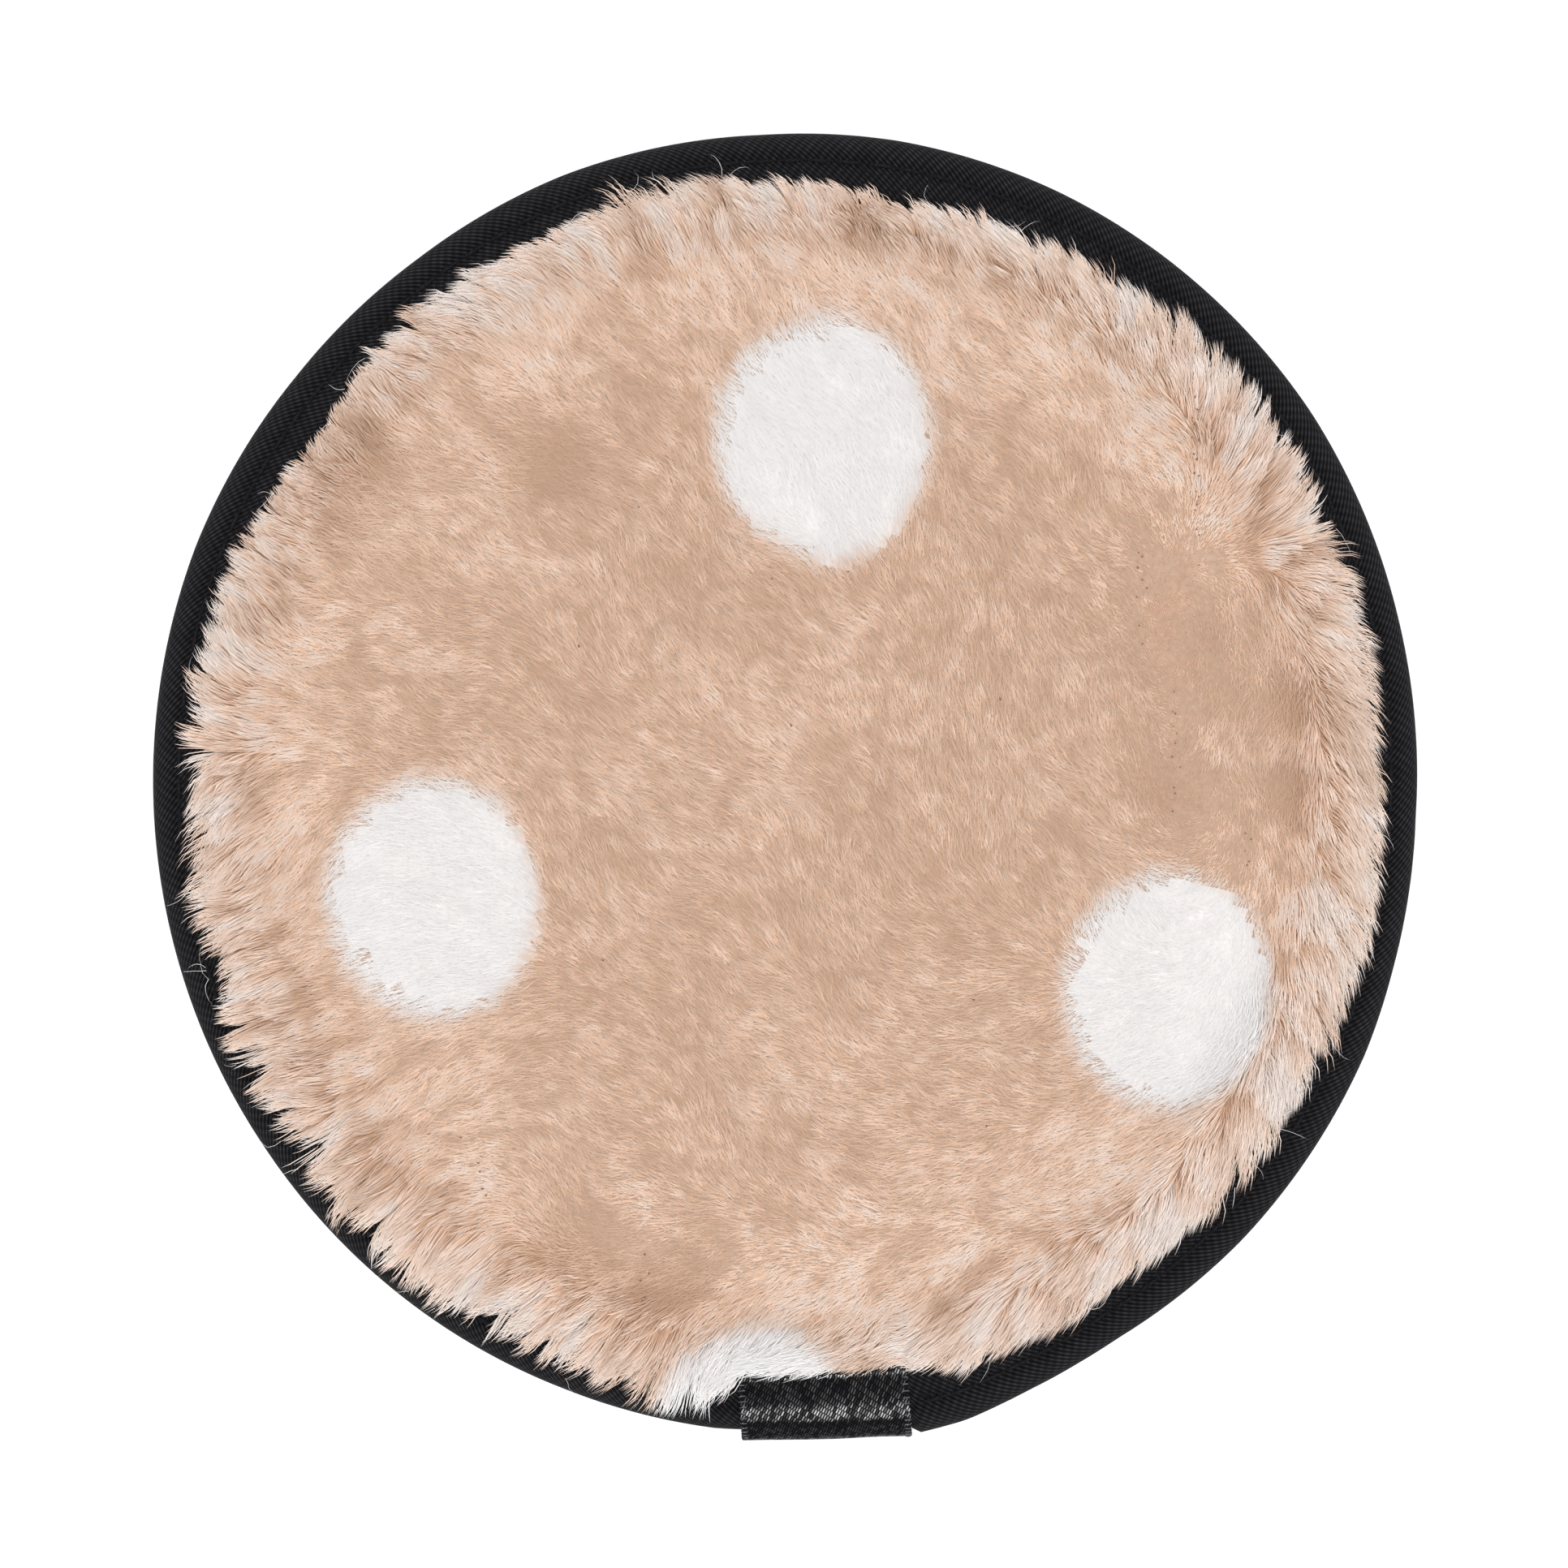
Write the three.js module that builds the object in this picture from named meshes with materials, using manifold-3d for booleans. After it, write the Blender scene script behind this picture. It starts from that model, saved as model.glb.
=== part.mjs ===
// A round, washable plush pad for taking off make-up, lying face up on a table.
// Millimetres, +Z up. The origin is on the table under the middle of the pad, and the ribbon lies towards -Y.
import * as THREE from 'three';
import { mergeGeometries, mergeVertices } from 'three/addons/utils/BufferGeometryUtils.js';
import Module from 'manifold-3d';

const wasm = await Module();
wasm.setup();

// Outline of the bound pad, seen from above. Insets below are measured inwards from this edge.
const PAD_WIDTH = 120;
const PAD_LENGTH = 123;
const SIDES = 56;

// Layers, at the middle of the pad
const REAR_PILE_HEIGHT = 4.2;
const FRONT_PILE_HEIGHT = 5.1;
const GROUND_THICKNESS = 0.7;
const CORE_THICKNESS = 2.4;
const LAYER_GAP = 0.3;

// Absorbent core
const CORE_INSET = 11;
const CORE_TAPER = 2;

// Edge binding: a tape folded over the rim, with a rolled edge and a sewn ditch beside the roll
const BINDING_REACH = 6.5;
const TAPE_THICKNESS = 0.9;
const TAPE_UNDER_SEAM = 0.35;
const TAPE_AT_HEM = 0.7;
const ROLL_REACH = 1.8;
const DITCH_WIDTH = 1.1;
const DITCH_SLOPE = 0.3;
const JOIN_GAP = 0.6;
const ARC_STEPS = 5;

// Pile: a crown, round shoulders, and sides drawn in to a foot inside the binding
const FOOT_GAP = 0.6;
const SKIRT_INSET = 3.8;
const SKIRT_FLARE = 0.5;
const SHOULDER_REACH = 9;
const CROWN_RISE = 0.9;
const REST_ROUND = 6;

// White spots in the pile. A spot is placed by its bearing and by how far its middle is in from the edge.
const SPOT_WIDTH = 20;
const SPOT_LENGTH = 22.6;
const SPOT_GAP = 0.3;
const SPOT_SIDES = 24;
const TOP_SPOT_INSET = 28.8;
const LEFT_SPOT_INSET = 25;
const RIGHT_SPOT_INSET = 19.8;
const RIM_SPOT_OVERHANG = 1.6;
const UPPER_SPOT_INSET = 28.6;
const LOWER_SPOT_INSET = 32.2;
const LEFT_RIM_SPOT_INSET = 3.2;
const RIGHT_RIM_SPOT_INSET = 5.8;
const FRONT_SPOTS = [
  { name: 'front_spot_top', bearing: 84.3, inset: TOP_SPOT_INSET },
  { name: 'front_spot_left', bearing: 198, inset: LEFT_SPOT_INSET },
  { name: 'front_spot_right', bearing: 331.2, inset: RIGHT_SPOT_INSET },
  { name: 'front_spot_rim', bearing: 267.3, inset: -RIM_SPOT_OVERHANG },
];
const REAR_SPOTS = [
  { name: 'rear_spot_upper', bearing: 123.7, inset: UPPER_SPOT_INSET },
  { name: 'rear_spot_lower', bearing: 300.3, inset: LOWER_SPOT_INSET },
  { name: 'rear_spot_left_rim', bearing: 196.5, inset: LEFT_RIM_SPOT_INSET },
  { name: 'rear_spot_right_rim', bearing: 19.6, inset: RIGHT_RIM_SPOT_INSET },
];

// Ribbon folded over the bound edge, at a bearing of its own
const RIBBON_WIDTH = 16;
const RIBBON_THICKNESS = 0.35;
const RIBBON_REACH = 6;
const RIBBON_BEARING = 273.75;
const RIBBON_ARC_STEPS = 5;
const SEAT_GAP = 0.3;

// Sewing thread, and the legs of it that go down through needle holes to the lock in the middle of the cloth
const THREAD = 0.4;
const THREAD_LEG = 0.3;
const HOLE_GAP = 0.3;
const LOCK_GAP = 0.3;
const STITCH_LENGTH = 6;
const STITCH_RISE = 0.15;
const SEAM_STOP = 1.2;
const TACK_MARGIN = 1.2;
const TACK_STITCH = 2.6;
const STEPS_PER_STITCH = 2;

// Worked out from the sizes above. Heights below are measured from the middle of the pad's rim.
const HALF_WIDTH = PAD_WIDTH / 2;
const HALF_LENGTH = PAD_LENGTH / 2;
const STRETCH = PAD_LENGTH / PAD_WIDTH;
const CORE_HALF = CORE_THICKNESS / 2;
const GROUND_OVER_CORE = CORE_HALF + LAYER_GAP;
const GROUND_AT_RIM = LAYER_GAP / 2;
const RAMP_START = CORE_INSET - LAYER_GAP;
const RAMP_END = BINDING_REACH + LAYER_GAP;
const GROUND_INSET = TAPE_THICKNESS + LAYER_GAP;
const PILE_BASE = GROUND_OVER_CORE + GROUND_THICKNESS + LAYER_GAP;
const MID_HEIGHT = PILE_BASE + REAR_PILE_HEIGHT;
const MOUTH_HALF = GROUND_AT_RIM + GROUND_THICKNESS + LAYER_GAP;
const RIM_HALF = MOUTH_HALF + TAPE_THICKNESS;
const DITCH_FLOOR = MOUTH_HALF + TAPE_UNDER_SEAM;
const SEAM_INSET = ROLL_REACH + DITCH_SLOPE + DITCH_WIDTH / 2;
const FOOT_INSET = BINDING_REACH + FOOT_GAP;
const RIBBON_SEAT = RIM_HALF + SEAT_GAP;
const TACK_SEAT = RIBBON_SEAT + RIBBON_THICKNESS + SEAT_GAP;
const OVERHANG = TACK_SEAT + THREAD + STITCH_RISE + SEAT_GAP;
const SKIRT_HEIGHT = OVERHANG + SKIRT_FLARE;
const PAD_HEIGHT = MID_HEIGHT + PILE_BASE + FRONT_PILE_HEIGHT;
const NEEDLE_HOLE = THREAD_LEG + 2 * HOLE_GAP;

// Finishes
const BEIGE_PILE = { color: 0xd4b39c, roughness: 0.95 };
const WHITE_PILE = { color: 0xede8e7, roughness: 0.95 };
const GROUND_KNIT = { color: 0xc7a58b, roughness: 0.95 };
const WADDING = { color: 0xefece6, roughness: 1 };
const BLACK_TWILL = { color: 0x1d1d1e, roughness: 0.85 };
const BLACK_SATIN = { color: 0x2a2a2c, roughness: 0.4 };
const BLACK_THREAD = { color: 0x151516, roughness: 0.7 };

const radians = THREE.MathUtils.degToRad;
const pad = new THREE.Group();

function place(name, geometry, finish, parent = pad) {
  const material = new THREE.MeshStandardMaterial({ ...finish, metalness: 0 });
  const mesh = new THREE.Mesh(geometry, material);
  mesh.name = name;
  parent.add(mesh);
}

// Closed solids for cutting and joining

function solidOf(geometry) {
  const bare = new THREE.BufferGeometry();
  bare.setAttribute('position', geometry.getAttribute('position').clone());
  if (geometry.index) bare.setIndex(geometry.index.clone());
  const merged = mergeVertices(bare);
  const mesh = new wasm.Mesh({
    numProp: 3,
    vertProperties: new Float32Array(merged.getAttribute('position').array),
    triVerts: new Uint32Array(merged.index.array),
  });
  return new wasm.Manifold(mesh);
}

function geometryOf(solid) {
  const mesh = solid.getMesh();
  const geometry = new THREE.BufferGeometry();
  geometry.setAttribute('position', new THREE.BufferAttribute(mesh.vertProperties, 3));
  geometry.setIndex(new THREE.BufferAttribute(mesh.triVerts, 1));
  geometry.computeVertexNormals();
  return geometry;
}

// The pad's outline and the sections that run round it

function edgeDistance(bearing) {
  const angle = radians(bearing);
  return 1 / Math.hypot(Math.cos(angle) / HALF_WIDTH, Math.sin(angle) / HALF_LENGTH);
}

function at(inset, height) {
  return new THREE.Vector2(HALF_WIDTH - inset, MID_HEIGHT + height);
}

function onAxis(height) {
  return at(HALF_WIDTH, height);
}

// Points of a quarter turn from a start on the side to an end above or below it, in the section's plane.
function quarterTurn(inset, height, reach, rise, steps) {
  const points = [];
  for (let step = 0; step <= steps; step += 1) {
    const angle = (step / steps) * (Math.PI / 2);
    points.push([inset + reach * (1 - Math.cos(angle)), height + rise * Math.sin(angle)]);
  }
  return points;
}

function roundThePad(section) {
  const geometry = new THREE.LatheGeometry(section, SIDES);
  geometry.rotateX(Math.PI / 2);
  geometry.scale(1, STRETCH, 1);
  return geometry;
}

// The other face's copy of a section: heights change sign, and the order turns round to keep faces outwards.
function mirrored(section) {
  return section.map(([inset, height]) => [inset, -height]).reverse();
}

function sectionOf(points) {
  return points.map(([inset, height]) => at(inset, height));
}

// Absorbent core: a thin disc of wadding with a tapered edge

function absorbentCore() {
  return roundThePad([
    onAxis(-CORE_HALF),
    at(CORE_INSET + CORE_TAPER, -CORE_HALF),
    at(CORE_INSET, 0),
    at(CORE_INSET + CORE_TAPER, CORE_HALF),
    onAxis(CORE_HALF),
  ]);
}

// Ground cloth: flat over the core, then pinched towards the other cloth where the binding holds both

function groundSection() {
  const under = [
    [HALF_WIDTH, GROUND_OVER_CORE],
    [RAMP_START, GROUND_OVER_CORE],
    [RAMP_END, GROUND_AT_RIM],
    [GROUND_INSET, GROUND_AT_RIM],
  ];
  const over = under.map(([inset, height]) => [inset, height + GROUND_THICKNESS]).reverse();
  return [...under, ...over];
}

// Pile: rooted on the ground cloth, with its skirt standing out over the binding

function pileRoots() {
  const ramp = (RAMP_START - FOOT_INSET) / (RAMP_START - RAMP_END);
  const footHeight = PILE_BASE + ramp * (GROUND_AT_RIM - GROUND_OVER_CORE);
  return [
    [HALF_WIDTH, PILE_BASE],
    [RAMP_START, PILE_BASE],
    [FOOT_INSET, footHeight],
    [FOOT_INSET, OVERHANG],
  ];
}

function frontPileSection() {
  const crown = PILE_BASE + FRONT_PILE_HEIGHT;
  const shoulder = crown - CROWN_RISE;
  const shoulderInset = SKIRT_INSET + SHOULDER_REACH;
  const side = quarterTurn(SKIRT_INSET, SKIRT_HEIGHT, SHOULDER_REACH, shoulder - SKIRT_HEIGHT, ARC_STEPS);
  const halfway = (shoulderInset + HALF_WIDTH) / 2;
  const dome = [
    [halfway, crown - CROWN_RISE / 4],
    [HALF_WIDTH, crown],
  ];
  return [...pileRoots(), ...side, ...dome];
}

function rearPileSection() {
  const side = quarterTurn(SKIRT_INSET, SKIRT_HEIGHT, REST_ROUND, MID_HEIGHT - SKIRT_HEIGHT, ARC_STEPS);
  return mirrored([...pileRoots(), ...side, [HALF_WIDTH, MID_HEIGHT]]);
}

function spotPrism({ bearing, inset }, clearance) {
  const distance = edgeDistance(bearing) - inset;
  const angle = radians(bearing);
  const middle = new THREE.Vector2(distance * Math.cos(angle), distance * Math.sin(angle));
  const shape = new THREE.Shape();
  const halfAcross = SPOT_WIDTH / 2 + clearance;
  const halfAlong = SPOT_LENGTH / 2 + clearance;
  shape.absellipse(middle.x, middle.y, halfAcross, halfAlong, 0, 2 * Math.PI, false);
  const prism = new THREE.ExtrudeGeometry(shape, {
    depth: PAD_HEIGHT + 2 * LAYER_GAP,
    curveSegments: SPOT_SIDES / 2,
    bevelEnabled: false,
  });
  return solidOf(prism.translate(0, 0, -LAYER_GAP));
}

function placePile(name, section, spots) {
  const whole = solidOf(roundThePad(sectionOf(section)));
  let beige = whole;
  for (const spot of spots) {
    place(spot.name, geometryOf(whole.intersect(spotPrism(spot, 0))), WHITE_PILE);
    beige = beige.subtract(spotPrism(spot, SPOT_GAP));
  }
  place(name, geometryOf(beige), BEIGE_PILE);
}

// Edge binding: the tape's two legs, its rolled fold and the ditch that the seam pulls in

function bindingSection() {
  const roll = quarterTurn(0, 0, ROLL_REACH, RIM_HALF, ARC_STEPS);
  const ditchStart = ROLL_REACH + DITCH_SLOPE;
  const hemStart = ditchStart + DITCH_WIDTH + DITCH_SLOPE;
  const hem = MOUTH_HALF + TAPE_AT_HEM;
  const upperHalf = [
    ...roll,
    [ditchStart, DITCH_FLOOR],
    [ditchStart + DITCH_WIDTH, DITCH_FLOOR],
    [hemStart, hem],
    [BINDING_REACH, hem],
    [BINDING_REACH, MOUTH_HALF],
    [TAPE_THICKNESS, MOUTH_HALF],
  ];
  const lowerHalf = mirrored(upperHalf);
  return [...upperHalf, ...lowerHalf];
}

function edgeBinding() {
  const ring = solidOf(roundThePad(sectionOf(bindingSection())));
  const cut = new THREE.BoxGeometry(JOIN_GAP, 2 * FOOT_INSET, PAD_HEIGHT);
  cut.translate(0, -edgeDistance(RIBBON_BEARING), MID_HEIGHT);
  cut.rotateZ(radians(RIBBON_BEARING - 270));
  return ring.subtract(solidOf(cut));
}

// Stitched threads: a square thread that rises and dips once in each stitch, with a leg at each dip

class StitchLine extends THREE.Curve {
  constructor(pointAlong, stitches, side) {
    super();
    this.pointAlong = pointAlong;
    this.stitches = stitches;
    this.side = side;
  }

  getPoint(share) {
    const wave = (1 - Math.cos(2 * Math.PI * this.stitches * share)) / 2;
    const point = this.pointAlong(share);
    point.z += this.side * STITCH_RISE * wave;
    return point;
  }

  getPointAt(share) {
    return this.getPoint(share);
  }

  getTangentAt(share) {
    return this.getTangent(share);
  }
}

function dipsOf(seam) {
  const dips = [];
  for (let stitch = 0; stitch <= seam.stitches; stitch += 1) {
    dips.push(seam.pointAlong(stitch / seam.stitches));
  }
  return dips;
}

// Upright square bars at the seam's dips, all in one geometry: a thread's legs, or the holes for them.
function barsAt(seam, across, low, high) {
  const bars = dipsOf(seam).map((dip) => {
    const bar = new THREE.BoxGeometry(across, across, high - low);
    bar.rotateZ(seam.turnAt(dip));
    return bar.translate(dip.x, dip.y, (low + high) / 2);
  });
  return mergeGeometries(bars);
}

function needleHoles(seam) {
  return barsAt(seam, NEEDLE_HOLE, seam.middle - PAD_HEIGHT, seam.middle + PAD_HEIGHT);
}

function threadAlong(seam, side) {
  const half = THREAD / 2;
  const section = new THREE.Shape([
    new THREE.Vector2(-half, -half),
    new THREE.Vector2(half, -half),
    new THREE.Vector2(half, half),
    new THREE.Vector2(-half, half),
  ]);
  const run = new THREE.ExtrudeGeometry(section, {
    steps: seam.stitches * STEPS_PER_STITCH,
    extrudePath: new StitchLine(seam.pointAlong, seam.stitches, side),
    bevelEnabled: false,
  });
  const lock = seam.middle + (side * LOCK_GAP) / 2;
  const height = seam.pointAlong(0).z;
  const legs = barsAt(seam, THREAD_LEG, Math.min(lock, height), Math.max(lock, height));
  return geometryOf(solidOf(run).add(solidOf(legs)));
}

// The binding's seam runs round in the ditch and stops short of the ribbon on both sides.
function bindingSeam(side) {
  const across = HALF_WIDTH - SEAM_INSET;
  const along = across * STRETCH;
  const stop = (RIBBON_WIDTH / 2 + SEAM_STOP) / across;
  const start = radians(RIBBON_BEARING) + stop;
  const sweep = 2 * (Math.PI - stop);
  const height = MID_HEIGHT + side * (DITCH_FLOOR + SEAT_GAP + THREAD / 2);
  const stitches = Math.round((sweep * across) / STITCH_LENGTH);
  const pointAlong = (share) => {
    const angle = start + share * sweep;
    return new THREE.Vector3(across * Math.cos(angle), along * Math.sin(angle), height);
  };
  const turnAt = (dip) => Math.atan2(dip.y, dip.x);
  return { pointAlong, stitches, turnAt, middle: MID_HEIGHT };
}

// Ribbon loop: a U that hugs the bound edge, in a frame turned to the ribbon's own bearing

const ribbonFrame = new THREE.Group();
ribbonFrame.rotation.z = radians(RIBBON_BEARING - 270);
ribbonFrame.position.z = MID_HEIGHT;
ribbonFrame.updateMatrix();
pad.add(ribbonFrame);

function ribbonLoop() {
  const edge = edgeDistance(RIBBON_BEARING);
  const legEnd = edge - RIBBON_REACH;
  const bend = edge - ROLL_REACH;
  const inner = RIBBON_SEAT;
  const outer = inner + RIBBON_THICKNESS;
  const innerBend = ROLL_REACH + SEAT_GAP;
  const outerBend = innerBend + RIBBON_THICKNESS;
  const shape = new THREE.Shape();
  shape.moveTo(legEnd, -outer);
  shape.lineTo(bend, -outer);
  shape.absellipse(bend, 0, outerBend, outer, -Math.PI / 2, Math.PI / 2, false);
  shape.lineTo(legEnd, outer);
  shape.lineTo(legEnd, inner);
  shape.lineTo(bend, inner);
  shape.absellipse(bend, 0, innerBend, inner, Math.PI / 2, -Math.PI / 2, true);
  shape.lineTo(legEnd, -inner);
  shape.closePath();
  const geometry = new THREE.ExtrudeGeometry(shape, {
    depth: RIBBON_WIDTH,
    curveSegments: RIBBON_ARC_STEPS,
    bevelEnabled: false,
  });
  const outwards = new THREE.Vector3(0, -1, 0);
  const upwards = new THREE.Vector3(0, 0, 1);
  const across = new THREE.Vector3(-1, 0, 0);
  geometry.applyMatrix4(new THREE.Matrix4().makeBasis(outwards, upwards, across));
  return solidOf(geometry.translate(RIBBON_WIDTH / 2, 0, 0));
}

// The tack sews both legs of the ribbon down near their ends. It is given in the ribbon's frame.
function ribbonTack(side) {
  const span = RIBBON_WIDTH - 2 * TACK_MARGIN;
  const outwards = edgeDistance(RIBBON_BEARING) - RIBBON_REACH + TACK_MARGIN;
  const height = side * (TACK_SEAT + THREAD / 2);
  const pointAlong = (share) => new THREE.Vector3((share - 0.5) * span, -outwards, height);
  const turnAt = () => 0;
  return { pointAlong, stitches: Math.round(span / TACK_STITCH), turnAt, middle: 0 };
}

const FRONT = 1;
const REAR = -1;

const tackHoles = needleHoles(ribbonTack(FRONT));
const seamHoles = solidOf(needleHoles(bindingSeam(FRONT)));
const holesInPad = seamHoles.add(solidOf(tackHoles.clone().applyMatrix4(ribbonFrame.matrix)));

function sewn(solid) {
  return geometryOf(solid.subtract(holesInPad));
}

function groundCloth(section) {
  return sewn(solidOf(roundThePad(sectionOf(section))));
}

placePile('front_pile', frontPileSection(), FRONT_SPOTS);
place('front_ground_cloth', groundCloth(groundSection()), GROUND_KNIT);
place('absorbent_core', absorbentCore(), WADDING);
place('rear_ground_cloth', groundCloth(mirrored(groundSection())), GROUND_KNIT);
placePile('rear_pile', rearPileSection(), REAR_SPOTS);
place('edge_binding', sewn(edgeBinding()), BLACK_TWILL);
place('binding_needle_thread', threadAlong(bindingSeam(FRONT), FRONT), BLACK_THREAD);
place('binding_bobbin_thread', threadAlong(bindingSeam(REAR), REAR), BLACK_THREAD);
place('ribbon_loop', geometryOf(ribbonLoop().subtract(solidOf(tackHoles))), BLACK_SATIN, ribbonFrame);
place('ribbon_needle_thread', threadAlong(ribbonTack(FRONT), FRONT), BLACK_THREAD, ribbonFrame);
place('ribbon_bobbin_thread', threadAlong(ribbonTack(REAR), REAR), BLACK_THREAD, ribbonFrame);

export default pad;
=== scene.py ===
"""Round plush make-up remover pad: combed pile with white spots, a twill-bound edge and a satin ribbon."""

import math

import bpy
import numpy as np
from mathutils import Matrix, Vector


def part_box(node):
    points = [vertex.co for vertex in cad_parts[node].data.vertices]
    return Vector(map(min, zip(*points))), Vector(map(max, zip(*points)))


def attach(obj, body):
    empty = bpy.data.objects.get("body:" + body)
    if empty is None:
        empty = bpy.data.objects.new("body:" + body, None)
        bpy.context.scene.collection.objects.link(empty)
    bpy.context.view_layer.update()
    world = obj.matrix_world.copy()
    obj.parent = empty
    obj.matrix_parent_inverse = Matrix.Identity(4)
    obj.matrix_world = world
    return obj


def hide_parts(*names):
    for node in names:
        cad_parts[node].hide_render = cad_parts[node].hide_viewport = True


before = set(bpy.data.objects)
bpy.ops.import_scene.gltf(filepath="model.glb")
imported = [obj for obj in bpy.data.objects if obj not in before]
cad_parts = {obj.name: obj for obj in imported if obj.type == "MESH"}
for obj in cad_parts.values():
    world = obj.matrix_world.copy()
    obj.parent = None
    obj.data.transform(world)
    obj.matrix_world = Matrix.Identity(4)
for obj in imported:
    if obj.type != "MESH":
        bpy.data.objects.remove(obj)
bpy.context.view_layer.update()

bl_info = {
    "name": "Plush Make-up Remover Pad",
    "version": (1, 0, 0),
    "blender": (4, 5, 0),
    "location": "View3D > Sidebar > Plush Pad",
    "description": "Dresses a round plush pad: pile, spots, bound edge, ribbon and stitching",
    "category": "Object",
}

# Lengths below are in millimetres, heights are counted from the pad's middle plane, and an inset is the way
# in from the bound edge.
MM = 0.001


def node_box(node):
    """Lowest and highest corner of a solid of the pad, in millimetres."""
    low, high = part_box(node)
    return [value / MM for value in low], [value / MM for value in high]


# Taken from the solids
TAPE_LOW, TAPE_HIGH = node_box("edge_binding")
HALF_WIDTH = (TAPE_HIGH[0] - TAPE_LOW[0]) / 2
HALF_LENGTH = (TAPE_HIGH[1] - TAPE_LOW[1]) / 2
STRETCH = HALF_LENGTH / HALF_WIDTH
MID_HEIGHT = (TAPE_HIGH[2] + TAPE_LOW[2]) / 2
RIM_HALF = (TAPE_HIGH[2] - TAPE_LOW[2]) / 2
PILE_HIGH = node_box("front_pile")[1]
CROWN_HEIGHT = PILE_HIGH[2] - MID_HEIGHT
SKIRT_INSET = HALF_WIDTH - PILE_HIGH[0]
GROUND_TOP = node_box("front_ground_cloth")[1][2] - MID_HEIGHT
GROUND_INSET = HALF_WIDTH - node_box("front_ground_cloth")[1][0]
CORE_HALF = node_box("absorbent_core")[1][2] - MID_HEIGHT
CORE_INSET = HALF_WIDTH - node_box("absorbent_core")[1][0]
REST_DEPTH = MID_HEIGHT

# Bound edge: a tape folded round the rim, rolled outside, sewn down in a ditch, with a hem inside
TAPE_WIDTH = 18.0
TAPE_REACH = 6.5
ROLL_REACH = 1.8
DITCH_INSET = 2.65
DITCH_FLOOR = 1.5
HEM_HEIGHT = 1.86
MOUTH_HALF = 1.15
JOIN_GAP = 0.6

# Pile: where it is rooted, how it covers the rim, and the brushed surface over it. Going outwards, fibres
# start to gather in tufts at RIM_TO, to be bent at BENT_TO and to hang over the rim at HANG_TO.
FOOT_INSET = 7.0
FOOT_HEIGHT = 1.7
NAP_DEPTH = 1.0
HANG_TO = 10.0
RIM_FROM = 8.0
RIM_TO = 14.0
RIM_BAND = 1.8
BENT_FROM = 8.0
BENT_TO = 11.0
SHOULDER_INSET = 12.8
CROWN_RISE = 0.9
SKIRT_HEIGHT = 4.3
APRON_HEIGHT = 2.4
REST_INSET = 9.8
EDGE_KEPT = 0.2
ROOT_DEPTH = 0.35
FLOOR_GAP = 0.06
REAR_THICKER = 1.6

# How far the shading of a fibre turns from the pile's surface to the fibre's own side
SPOKE_SHARE = 0.65

# Where along its lean a fibre is mostly seen
SEEN_SHARE = 0.88

# Steps of an even spread that never repeats
SPREAD_STEPS = (0.7548776662466927, 0.5698402909980532)

# Shades of the beige fibres, from 0, dark, to 1, pale
SHADE_MIDDLE = 0.38
SHADE_PATCHES = 0.14
SHADE_SINGLE = 0.09
SHADE_PALE = 0.3
PALE_SHARE = 0.15
# Streaky tone along the combed locks; the fibres that sink into the grooves are darker, a painted shade
LOCK_TONE_AND_GROOVE_SHADE = 0.22
# Painted shade in the partings
PARTING_PAINTED_SHADE = 0.65
SHADE_OUTER = 0.34
# Painted shade: fibres whose tips lie deeper are darker
DEPTH_PAINTED_SHADE = 0.2
SHADE_FRINGE = 0.12
SHADE_LOWEST = 0.12
# Fibres below this shade are dark ends, painted shade of small gaps in the pile
GAP_SHADE_LIMIT = 0.045

# White spots: bearing in degrees and inset of each middle
SPOT_WIDTH = 20.0
SPOT_LENGTH = 22.6
FRONT_SPOTS = {
    "front_spot_top": (84.3, 28.8),
    "front_spot_left": (198.0, 25.0),
    "front_spot_right": (331.2, 19.8),
    "front_spot_rim": (267.3, -1.6),
}
REAR_SPOTS = {
    "rear_spot_upper": (123.7, 28.6),
    "rear_spot_lower": (300.3, 32.2),
    "rear_spot_left_rim": (196.5, 3.2),
    "rear_spot_right_rim": (19.6, 5.8),
}

# How far the edge swells past an even oval, by bearing
EDGE_SWELL = (
    (0, 0.15), (15, 0.3), (35, 0.67), (65, 0.6), (80, 0.4), (92, 0.0), (110, 0.0), (125, -0.33),
    (140, -0.33), (158, 0.0), (215, -0.15), (250, 0.0), (264, 0.25), (267, 0.1), (270, 0.3),
    (276, 0.65), (281.2, 0.95), (281.8, 1.7), (286, 1.65), (289, 1.3), (292, 1.0), (297, 0.7),
    (301, 0.55), (315, 0.8), (335, 0.7), (343, 0.4), (357, 0.1),
)

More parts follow.
